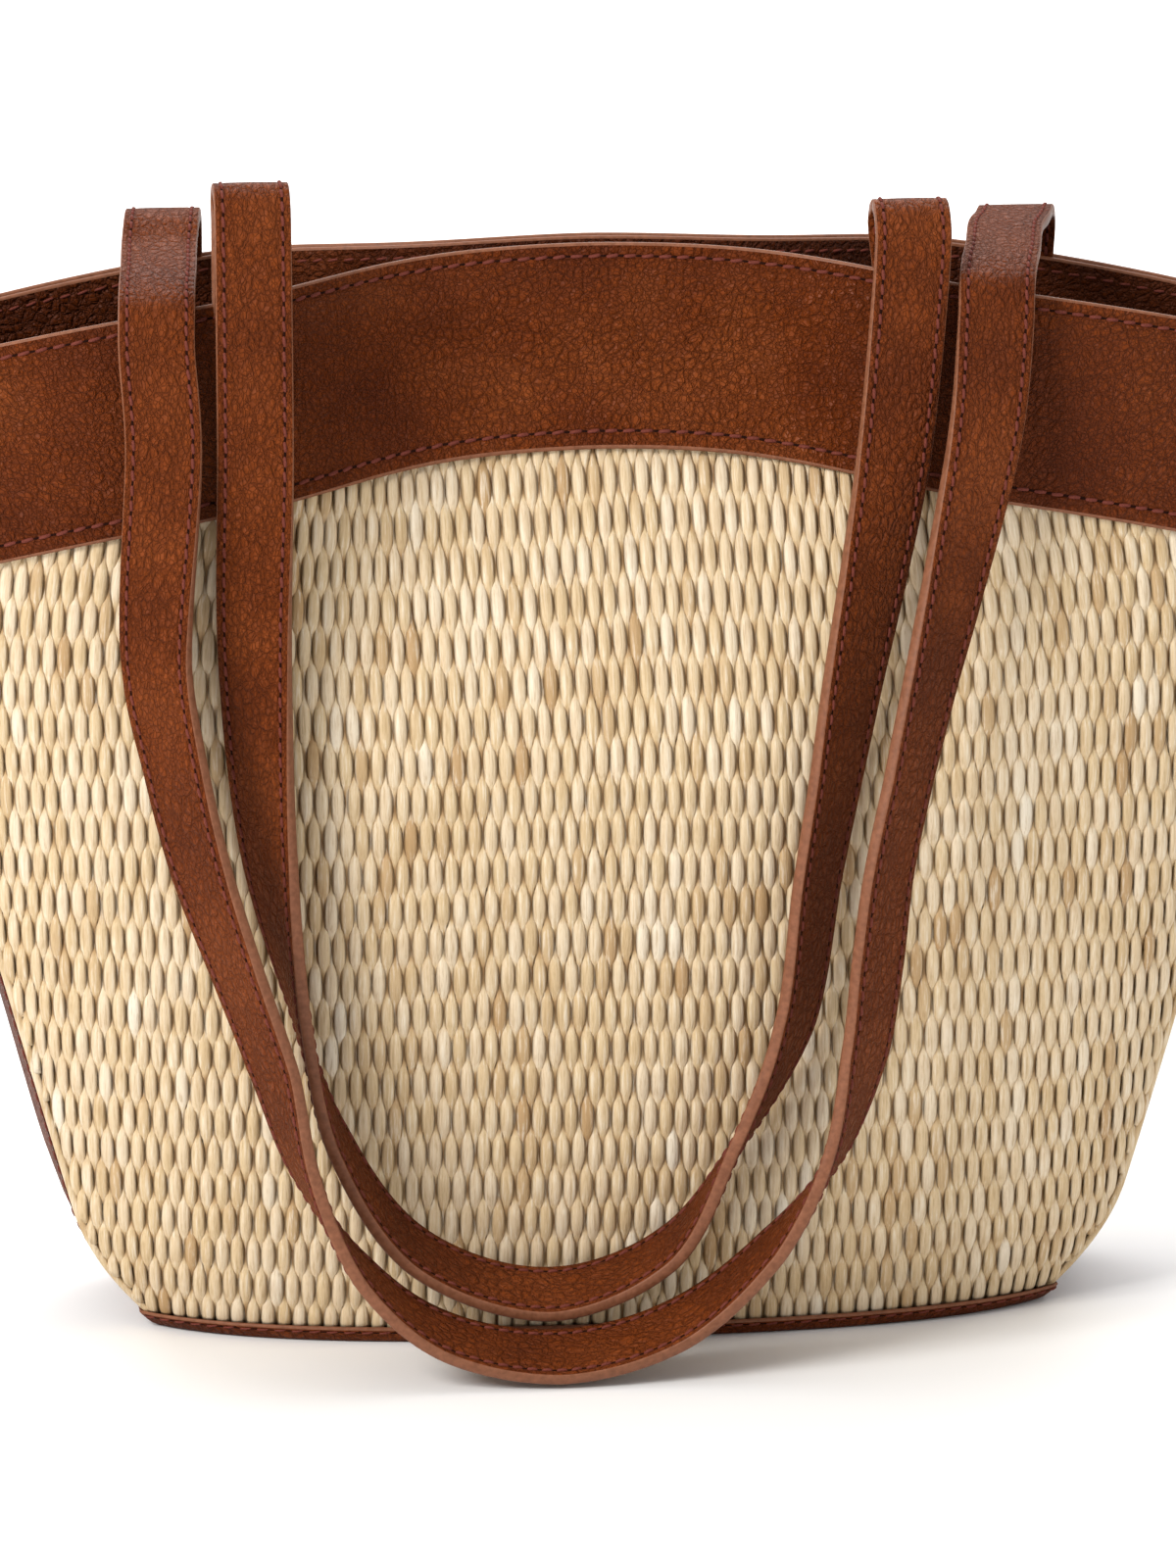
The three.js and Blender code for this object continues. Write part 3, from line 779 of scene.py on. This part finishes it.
def add_edge_strand(soup, side, surface, sign, levels, seed):
    """A single round strand down the panel's edge, which finishes the weave along the seam."""
    z = levels[levels < SEAM_RIM - BAND_HEIGHT + TOP_END]
    u = np.zeros(len(z))
    arc_place = np.zeros(len(z))
    for k, level in enumerate(z):
        u_grid, arcs = row_arcs(side, level)
        arc_place[k] = sign * (arcs[-1] - EDGE_STRAND_INSET)
        u[k] = np.interp(arc_place[k], arcs, u_grid)
    turn = np.arange(EDGE_STRAND_SIDES) * 2 * math.pi / EDGE_STRAND_SIDES
    ones = np.ones((len(z), 1))
    sideways = EDGE_STRAND_RADIUS * np.cos(turn)[None, :] * ones
    height = EDGE_STRAND_LIFT + EDGE_STRAND_RADIUS * 0.85 * np.sin(turn)[None, :] * ones
    verts, flats = strand_rings(surface, u, z, arc_place, sideways, height)
    add_tube(soup, verts, flats, 0.5 + 0.12 * ripple(z, z * 0.2, 14, seed + 9 + sign))


def strand_shape(phase, body):
    """Half width, base and crown of each strand along its way over and under the weave."""
    over = np.cos(phase)
    under = np.abs(over)
    wide = np.where(
        over > 0,
        HALF_WIDTH_CROSSING + (HALF_WIDTH_OVER - HALF_WIDTH_CROSSING) * under**0.38,
        HALF_WIDTH_CROSSING + (HALF_WIDTH_UNDER - HALF_WIDTH_CROSSING) * under,
    )
    lift = (np.sign(over) * under**0.65 + 1) / 2
    base = STRAND_UNDER + (STRAND_OVER - STRAND_UNDER) * lift
    crown = CROWN_UNDER + (CROWN_OVER - CROWN_UNDER) * lift
    return wide * body, base, crown


def make_straw(name, side, surface, seed):
    soup = Soup()
    s = np.linspace(-1, 1, 97)
    top = rim_height(s) - BAND_HEIGHT + 9
    # the dark core sheet behind the strands, seen in the gaps as weft and painted shade
    core = sheet_profile(*CORE, 26, inner_rows=6)
    surface_shell(soup, surface, s, WALL_START, top, core, lambda arc, z, distance, high: distance, (1, 1))
    levels = np.arange(FIRST_LEVEL, TOP_LEVEL, ROW_PITCH / RINGS_PER_ROW)
    widest = int(row_arcs(side, levels[-1])[1][-1] / STRAND_PITCH) + 1
    index = np.arange(-widest, widest)
    arc_place, u, reach, phase = strand_field(side, seed, levels, index)
    z = np.broadcast_to(levels[:, None], u.shape)
    body = np.random.default_rng(seed + 3).uniform(0.95, 1.04, len(index))[None, :]
    wide, base, crown = strand_shape(phase, body)
    tone = strand_tones_with_shade(seed, phase, index, arc_place, z)
    sideways = wide[..., None] * STRAND_SECTION[:, 0]
    height = base[..., None] + crown[..., None] * STRAND_SECTION[:, 1]
    verts, flats = strand_rings(surface, u, z, arc_place, sideways, height)
    inside = np.abs(arc_place) < reach[:, None] - EDGE_GAP
    inside &= z < rim_height(u) - BAND_HEIGHT + TOP_END
    for strand in range(len(index)):
        rows = np.flatnonzero(inside[:, strand])
        if len(rows) >= 4:
            add_tube(soup, verts[rows, strand], flats[rows, strand], tone[rows, strand])
    for sign in (-1, 1):
        add_edge_strand(soup, side, surface, sign, levels, seed)
    made = soup.build(name, [STRAW, STRAW_CORE_WITH_SHADE])
    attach(made, "bag")
    return made


for name, side, surface, seed in (("straw_front", -1, "front", 11), ("straw_back", 1, "back", 23)):
    panel = make_straw(name, side, surface, seed)
    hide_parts(surface + "_straw_panel")

# ---- leather round the mouth ----
BAND_SHEET, FACING_SHEET, GUSSET_SHEET = (0.8, 2.4), (-5.6, -4.2), (-1.2, 0)
BAND_STITCHES = ((1, -3.6), (0, 4.4))
FACING_STITCHES = (3.8, FACING_HEIGHT - 4)
STITCH_PITCH = 4.7
STITCH_SINK = 0.22


def band_shape(arc_length, z, distance, high):
    """The band leans in to meet the facing at the edge, and is a little uneven."""
    below = high - z
    lean = 2.5 * (1 - smooth(0.5, 13, below))
    swell = 0.28 * ripple(arc_length, z * 0.8, 62, 3) * smooth(2, 12, below)
    return distance - lean + swell


def facing_shape(arc_length, z, distance, high):
    below = high - z
    lean = 2.2 * (1 - smooth(0.5, 13, below))
    swell = 0.25 * ripple(arc_length, z, 55, 9) * smooth(2, 12, below)
    return distance + lean + swell


def make_band():
    soup = Soup()
    sheet = sheet_profile(*BAND_SHEET, 12, BAND_STITCHES)
    low = RIM - BAND_HEIGHT
    arc_length = ring_shell(soup, low, RIM, sheet, band_shape, 0.6)
    for k, (share, shift) in enumerate(BAND_STITCHES):
        z = low + share * BAND_HEIGHT + shift
        d = band_shape(arc_length, z, BAND_SHEET[1], RIM) - STITCH_SINK
        points, outward = ring_line(z, d)
        stitch_line(soup, points, outward, STITCH_PITCH, 3.6, 40 + k, radius=0.52)
    band = soup.build("rim_band", [LEATHER, EDGE, THREAD, HOLE_SHADE])
    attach(band, "bag")
    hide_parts("front_band", "back_band", "left_side_band", "right_side_band")


def make_facing():
    soup = Soup()
    sheet = sheet_profile(*FACING_SHEET, 8)
    arc_length = ring_shell(soup, RIM - FACING_HEIGHT, RIM - 0.4, sheet, facing_shape)
    for k, below in enumerate(FACING_STITCHES):
        z = RIM - below
        d = facing_shape(arc_length, z, FACING_SHEET[0], RIM) + 0.05
        points, outward = ring_line(z, d)
        stitch_line(soup, points, -outward, STITCH_PITCH, 3.5, 50 + k, radius=0.42)
    facing = soup.build("rim_facing", [SHADED_FACING_LEATHER, EDGE, THREAD, HOLE_SHADE])
    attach(facing, "bag")
    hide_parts("front_facing", "back_facing", "left_side_facing", "right_side_facing")


def make_gusset(side_name):
    """The side panel, with soft vertical creases where it folds in under the band."""
    soup = Soup()
    v = np.linspace(-0.985, 0.985, 45)

    def shape(arc_length, z, distance, high):
        crease = -1.6 * np.exp(-((v / 0.22) ** 2)) * smooth(120, 220, z)
        buckle = 0.7 * ripple(v * 60, z * 0.6, 48, 17 if side_name == "left" else 29) * (1 - v**4)
        return distance + (crease + buckle) * (1 - np.abs(v) ** 6) - 0.15

    surface_shell(soup, side_name, v, WALL_START, SEAM_RIM - 8.0, sheet_profile(*GUSSET_SHEET, 40), shape)
    for k, place in enumerate((-0.9, 0.9)):
        z = np.linspace(6, SEAM_RIM - BAND_HEIGHT + 3, 160)
        line = np.full(len(z), place)
        points = offset_point(side_name, line, z, -0.05)
        normals = normal_at(side_name, line, z)
        stitch_line(soup, points, normals, 4.2, 3.0, 60 + k, radius=0.36)
    panel = soup.build("gusset_" + side_name, [LEATHER, EDGE, THREAD, HOLE_SHADE])
    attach(panel, "bag")
    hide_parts(side_name + "_gusset")


make_band()
make_facing()
make_gusset("left")
make_gusset("right")


# ---- base and lining ----
TRAY_LIP = (
    (0.0, -6.0), (0.0, 0.6), (0.25, 1.5), (0.8, 2.1), (1.5, 2.35), (2.6, 2.4), (3.6, 2.35),
    (4.2, 2.1), (4.5, 1.45), (4.2, 0.9), (3.4, 0.7), (1.8, 0.7), (1.8, -6.0),
)
TRAY_EDGE_ROWS = (6, 7, 8)
TRAY_STITCH_HEIGHT, TRAY_OUT = 3.0, 2.4
LINING_ROWS, LINING_FLOOR, LINING_INSIDE = 34, 4.0, 4.9


def closed_stack(verts, rings, floor, inside):
    """Quads between the rings round the bag, and a disc over the first and over the last."""
    faces = loop_faces(rings, RING_SIZE, False)
    for start, height, up in ((0, floor, False), ((rings - 1) * RING_SIZE, inside, True)):
        verts.append((0, 0, height))
        hub = len(verts) - 1
        for k in range(RING_SIZE):
            pair = (start + k, start + (k + 1) % RING_SIZE)
            faces.append((*pair, hub) if up else (*reversed(pair), hub))
    return faces


def make_base():
    """A shallow leather tray: flat underneath, with a rounded lip sewn up round the straw."""
    soup = Soup()
    arc_length = ring_arc(4)
    verts, flats = [], []
    for z, d in TRAY_LIP:
        ring = ring_points(z, d)
        ring[:, 2] = z
        verts += ring.tolist()
        flats += np.stack([arc_length, np.full(RING_SIZE, z + d), np.full(RING_SIZE, 9.0)], -1).tolist()
    inside = TRAY_LIP[-1][0]
    faces = closed_stack(verts, len(TRAY_LIP), 0.0, inside)
    flats = np.array(flats + [(0, 0, 9.0), (0, 0, 9.0)])
    plane = np.array(verts)
    level = (plane[:, 2] < 0.1) | (np.abs(plane[:, 2] - inside) < 0.05)
    flats[level] = plane[level]
    kinds = [1 if k // RING_SIZE in TRAY_EDGE_ROWS else 0 for k in range(len(faces))]
    soup.add(verts, turned_out(verts, faces), kinds, flats)
    points, outward = ring_line(TRAY_STITCH_HEIGHT, TRAY_OUT)
    points[:, 2] = TRAY_STITCH_HEIGHT
    stitch_line(soup, points, outward, STITCH_PITCH, 3.4, 71, radius=0.3)
    base = soup.build("base_tray", [LEATHER, EDGE, THREAD, HOLE_SHADE])
    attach(base, "bag")
    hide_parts("base_panel")


def make_lining():
    """The cloth lining hangs from the facing, a little loose and wrinkled, and lies on the board."""
    soup = Soup()
    top = RIM - FACING_HEIGHT + 5
    arc_length = ring_arc(120)
    verts, flats = [], []
    shares = [k / LINING_ROWS for k in range(LINING_ROWS + 1)]
    for order, floor, inset, face in (
        (shares, LINING_FLOOR, 0.0, 0.0), (shares[::-1], LINING_INSIDE, 0.8, 4.0),
    ):
        for share in order:
            z = floor + share * (top - floor)
            hang = smooth(0.02, 0.2, share) * smooth(1.0, 0.85, share)
            fold = ripple(arc_length, z * 0.35, 46, 31) * 1.3 * hang
            d = -3.3 - 0.9 * hang - np.abs(fold) - inset
            verts += ring_points(z, d).tolist()
            flats += np.stack([arc_length, z, np.full(RING_SIZE, face)], -1).tolist()
    faces = closed_stack(verts, 2 * len(shares), LINING_FLOOR, LINING_INSIDE)
    flats = np.array(flats + [(0, 0, 0), (0, 0, 4)])
    plane = np.array(verts)
    floor_rows = plane[:, 2] < LINING_INSIDE + 0.1
    flats[floor_rows] = plane[floor_rows]
    soup.add(verts, turned_out(verts, faces), 0, flats)
    lining = soup.build("lining_bag", [LINING])
    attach(lining, "bag")
    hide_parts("lining")


make_base()
make_lining()

# ---- handles ----
FRONT_LOOP = [
    (-93, -55, 243, 4), (-94, -62, 188, 26), (-91, -68, 137, 54), (-84, -70, 98, 84),
    (-74, -71, 62, 102), (-53, -71, 31, 110), (-18, -70, 18, 112), (13, -72, 30, 100),
    (31, -74, 58, 76), (46, -74, 90, 56), (52.5, -72, 130, 50), (57.5, -69, 156, 45),
    (62.5, -65, 182, 36), (68, -60, 207, 26), (74, -56, 240, 10),
]
BACK_LOOP = [
    (-117, -58, 246, 6), (-120, -69, 190, 34), (-116, -77, 165, 42), (-110, -83, 139, 46),
    (-101, -88, 112, 54), (-92, -89, 86, 58), (-84, -89, 58, 76), (-69, -89, 31, 98),
    (-48, -88, 13, 108), (-17, -89, 6.5, 112), (14, -88, 14, 108), (39, -89, 35, 95),
    (55, -89, 59, 70), (63, -88, 86, 50), (66.5, -86, 110, 46), (69.5, -84, 133, 48),
    (75, -80, 157, 48), (81.7, -75, 184, 42), (88, -69, 207, 32), (97.5, -60, 246, 10),
]
STITCH_INSET = 7.7
STRAP_PITCH, STRAP_STITCH = 3.9, 3.1
STRAP_SWELL, STRAP_GROOVE = 0.16, 0.26
RING_STEP = 2.2


def wall_at_x(x, z):
    low, high = -1.0, 1.0
    for _ in range(40):
        u = (low + high) / 2
        if share_of_width(u) * seam_half_width(z) < x:
            low = u
        else:
            high = u
    return (low + high) / 2


def tab_point(side, x, below):
    u = wall_at_x(x, RIM_HEIGHT - 10)
    z = rim_height(u) - below
    surface = "front" if side < 0 else "back"
    return offset_point(surface, wall_at_x(x, z), z, TAB_DEPTH)


def front_bend(x, rise):
    start = tab_point(-1, x, -rise)
    points = []
    for k in range(7):
        turn = math.pi * k / 6
        reach = FRONT_BEND_RADIUS * (1 - math.cos(turn))
        points.append((x, start[1] - reach, start[2] + FRONT_BEND_RADIUS * math.sin(turn)))
    return points


def back_bridge(x, rise, lean):
    root, edge = tab_point(1, x, -6), tab_point(-1, x + lean, 0)
    return [
        (x, root[1], root[2]),
        (x + 0.03 * lean, root[1] - 3, root[2] + 0.58 * rise),
        (x + 0.13 * lean, root[1] - 11, root[2] + 0.96 * rise),
        (x + 0.3 * lean, root[1] - 24, root[2] + rise),
        (x + 0.47 * lean, 0, edge[2] + rise + 3),
        (x + 0.7 * lean, edge[1] + 12, edge[2] + 0.55 * rise + 3.9),
        (x + 0.85 * lean, edge[1], edge[2] + 0.45 * rise + 2.6),
        (x + 0.95 * lean, edge[1] - 9, edge[2] + 0.36 * rise - 0.8),
        (x + lean, edge[1] - 13.5, edge[2] + 0.3 * rise - 9.6),
    ]


def along_mouth(side, x):
    half = STRAP_HALF_WIDTH
    edge = tab_point(side, x + half, half) - tab_point(side, x - half, half)
    edge[2] = 0
    return unit(edge)


class StrapPath:
    """The strap's middle line, a centripetal Catmull-Rom curve through its knots, and its turn."""

    def __init__(self, side, ends_x, bends, loop):
        def end(x):
            return [tuple(tab_point(side, x, below)) for below in (TAB_LENGTH, TAB_LENGTH / 2, 0)]

        left = end(ends_x[0]) + bends[0]
        right = (end(ends_x[1]) + bends[1])[::-1]
        knots = left + list(loop) + right
        self.knots = np.array([k[:3] for k in knots], float)
        self.turns = [k[3] if len(k) > 3 else 0 for k in knots]
        self.last = len(knots) - 1
        self.loop_from, self.loop_to = len(left) - 1, len(left) + len(loop)
        self.mouth = [along_mouth(side, ends_x[0]), -along_mouth(side, ends_x[1])]
        self.at = np.linspace(0, self.last, self.last * 60 + 1)
        self.travel = travelled(np.array([self.point(at) for at in self.at]))

    def point(self, at):
        at = min(max(at, 0), self.last)
        k = min(int(at), self.last - 1)
        t = at - k
        p = self.knots
        p1, p2 = p[k], p[k + 1]
        p0 = p[k - 1] if k > 0 else 2 * p[0] - p[1]
        p3 = p[k + 2] if k + 2 <= self.last else 2 * p[-1] - p[-2]
        d0, d1, d2 = (np.sum((b - a) ** 2) ** 0.25 for a, b in ((p0, p1), (p1, p2), (p2, p3)))
        t1 = ((p1 - p0) / d0 - (p2 - p0) / (d0 + d1) + (p2 - p1) / d1) * d1
        t2 = ((p2 - p1) / d1 - (p3 - p1) / (d1 + d2) + (p3 - p2) / d2) * d1
        c2 = -3 * p1 + 3 * p2 - 2 * t1 - t2
        c3 = 2 * p1 - 2 * p2 + t1 + t2
        return p1 + t1 * t + c2 * t * t + c3 * t**3

    def frame(self, at):
        """Middle point, direction across, and the outer face's direction."""
        step = 1e-4 * self.last
        tangent = unit(self.point(at + step) - self.point(at - step))
        k = min(int(at), self.last - 1)
        turn = math.radians(self.turns[k] + (self.turns[k + 1] - self.turns[k]) * (at - k))
        is_left = at < self.last / 2
        from_end = at if is_left else self.last - at
        level = np.array([1.0 if is_left else -1.0, 0, 0])
        share = 1 - float(smooth(2.5, 5, from_end))
        level = level + (self.mouth[0 if is_left else 1] - level) * share
        loop_share = float(smooth(self.loop_from, self.loop_from + 1, at))
        loop_share *= 1 - float(smooth(self.loop_to - 1, self.loop_to, at))
        inward = unit(np.cross(tangent, [0, 1, 0]) + 1e-9)
        inward = unit(level + (inward - level) * loop_share)
        across = inward * math.cos(turn)
        across[1] -= math.sin(turn)
        across = unit(across - tangent * (across @ tangent))
        return self.point(at), across, np.cross(tangent, across)

    def thickness(self, at):
        from_end = min(at, self.last - at)
        return TAB_THICKNESS + (STRAP_THICKNESS - TAB_THICKNESS) * float(smooth(1.9, 3.1, from_end))


def strap_profile():
    """A strap's upper face and right edge, as (place across, share of the thickness, extra height)."""
    half = (2.3, 4.6, 6.6, 7.25, 7.7, 8.15, 8.6, 9.65)
    face = []
    for b in (*(-b for b in reversed(half)), 0, *half):
        swell = STRAP_SWELL * (1 - (b / STRAP_HALF_WIDTH) ** 2)
        groove = STRAP_GROOVE * math.exp(-(((abs(b) - STITCH_INSET) / 0.42) ** 2))
        face.append((b, 0.5, swell - groove))
    return face, [(9.92, 0.36, 0), (10.0, 0.0, 0), (9.92, -0.36, 0)]


def make_strap(name, path, at_from, at_to, bodies, start, end, slot_name, nodes, seed):
    face, edge = strap_profile()
    begin, finish = np.interp([at_from, at_to], path.at, path.travel)
    steps = max(4, int((finish - begin) / RING_STEP))
    places = np.interp(np.linspace(begin, finish, steps + 1), path.travel, path.at)
    places[0], places[-1] = at_from, at_to
    rings, flats, frames = [], [], []
    for at in places:
        middle, across, outward = path.frame(at)
        thick = path.thickness(at)
        travel = float(np.interp(at, path.at, path.travel))
        ring, flat = [], []
        loop = [(b, s * thick + e) for b, s, e in face + edge]
        loop += [(b, -s * thick - e) for b, s, e in reversed(face)]
        loop += [(-b, -s * thick - e) for b, s, e in edge]
        for b, h in loop:
            ring.append(middle + across * b + outward * h)
            flat.append((b + (40 if h < 0 else 0), travel, h * 2))
        rings.append(ring)
        flats.append(flat)
        frames.append((middle, across, outward, thick))
    count = len(rings[0])
    upper_end, lower = len(face) - 1, len(face) + len(edge)
    is_face = [k < upper_end or lower <= k < lower + upper_end for k in range(count)]
    faces = turned_out(rings, tube_faces(len(rings), count))
    ends = (len(faces) - 2, len(faces) - 1)
    mats = [0 if is_face[k % count] and k not in ends else 1 for k in range(len(faces))]
    soup = Soup()
    soup.add(rings, faces, mats, flats, flat_faces=ends)
    first = STRAP_PITCH * math.ceil(begin / STRAP_PITCH) - begin
    for row, (b, sign) in enumerate(((-1, 1), (1, 1), (-1, -1), (1, -1))):
        inset = b * STITCH_INSET
        points = np.array([m + a * inset + o * sign * (t / 2 - 0.06) for m, a, o, t in frames])
        normals = np.array([o * sign for _, _, o, _ in frames])
        stitch_line(soup, points, normals, STRAP_PITCH, STRAP_STITCH, seed + row, first, 0.48)
    made = soup.build(name, [STRAP_LEATHER, EDGE, THREAD, HOLE_SHADE])
    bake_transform(made)
    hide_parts(*nodes)


# Each handle: its path, the knot where its end pieces meet the long piece, and where each piece goes over
# from one moving length to the next, in metres.
FRONT_BENDS = [front_bend(*end) for end in zip(FRONT_HANDLE_X, FRONT_BEND_RISE)]
BACK_BRIDGES = [back_bridge(*end) for end in zip(BACK_HANDLE_X, BACK_ARCH_RISE, BACK_HANDLE_LEAN)]
HANDLES = (
    ("front", StrapPath(-1, FRONT_HANDLE_X, FRONT_BENDS, FRONT_LOOP), "bend", 6,
     {"left": ((0, -0.0290, 0.2970), (0, -0.0372, 0.3080)),
      "right": ((0, -0.0262, 0.2898), (0, -0.0344, 0.3008))},
     ((0, -0.0362, 0.3051), (-0.00043, -0.0452, 0.2926))),
    ("back", StrapPath(1, BACK_HANDLE_X, BACK_BRIDGES, BACK_LOOP), "bridge", 5,
     {"left": ((0, 0.035, 0.277), (0, 0.024, 0.289)),
      "right": ((0, 0.035, 0.276), (0, 0.024, 0.288))},
     ((0, -0.014, 0.292), (0, -0.052, 0.262))),
)
for label, path, bend_name, joint, end_ranges, loop_range in HANDLES:
    bend_body, loop_body = f"{label}_{bend_name}", f"{label}_loop"
    first_cut, second_cut = joint, path.last - joint
    spans = {"left": (0, first_cut), "right": (second_cut, path.last)}
    for hand, (a, b) in spans.items():
        end_name = f"{label}_handle_{hand}"
        make_strap(f"{end_name}_end", path, a, b, ("bag", bend_body), *end_ranges[hand],
                   "strap_leather", [f"{end_name}_tab", f"{end_name}_{bend_name}"], 80)
    make_strap(f"{label}_handle_strap", path, first_cut, second_cut, (bend_body, loop_body), *loop_range,
               "strap_leather", [f"{label}_handle"], 90)

# ---- CAD nodes that stay, with their finish ----
for node, material in (
    ("snap_socket", BRASS), ("snap_stud", BRASS), ("socket_backing_plate", STEEL),
    ("stud_backing_plate", STEEL), ("base_board", BOARD),
):
    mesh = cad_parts[node].data
    mesh.materials.clear()
    mesh.materials.append(material)

# ---- stage ----
FLOOR_RADIUS = 14
bpy.ops.mesh.primitive_circle_add(vertices=96, radius=FLOOR_RADIUS, fill_type="NGON", location=(0, 0, 0))
floor = bpy.context.object
floor.name = "floor"
floor_material, _, floor_shader = new_material("floor")
floor_shader.inputs["Base Color"].default_value = (0.93, 0.93, 0.93, 1)
floor_shader.inputs["Roughness"].default_value = 0.85
floor.data.materials.append(floor_material)

world = bpy.data.worlds.new("world")
world.use_nodes = True
world.node_tree.nodes["Background"].inputs[0].default_value = (1.0, 0.99, 0.975, 1)
world.node_tree.nodes["Background"].inputs[1].default_value = 0.5
bpy.context.scene.world = world


def soft_light(name, place, aim, size, power, colour=(1, 1, 1)):
    data = bpy.data.lights.new(name, "AREA")
    data.shape = "RECTANGLE"
    data.size, data.size_y = size
    data.energy = power
    data.color = colour
    lamp = bpy.data.objects.new(name, data)
    lamp.location = place
    lamp.rotation_mode = "QUATERNION"
    lamp.rotation_quaternion = (Vector(aim) - Vector(place)).to_track_quat("-Z", "Y")
    bpy.context.scene.collection.objects.link(lamp)


BAG_MIDDLE = (0, 0, 0.15)
soft_light("key", (-1.5, -1.3, 1.5), BAG_MIDDLE, (0.9, 0.9), 49, (1, 0.985, 0.96))
soft_light("fill", (1.3, -1.9, 0.7), BAG_MIDDLE, (1.5, 1.2), 3.5)
soft_light("top", (0.2, 0.3, 2.2), BAG_MIDDLE, (1.8, 1.8), 16)
soft_light("backdrop", (0, 3.6, 2.4), (0, 3.6, 0), (6, 3.6), 260)
bpy.context.scene.view_settings.view_transform = "Standard"
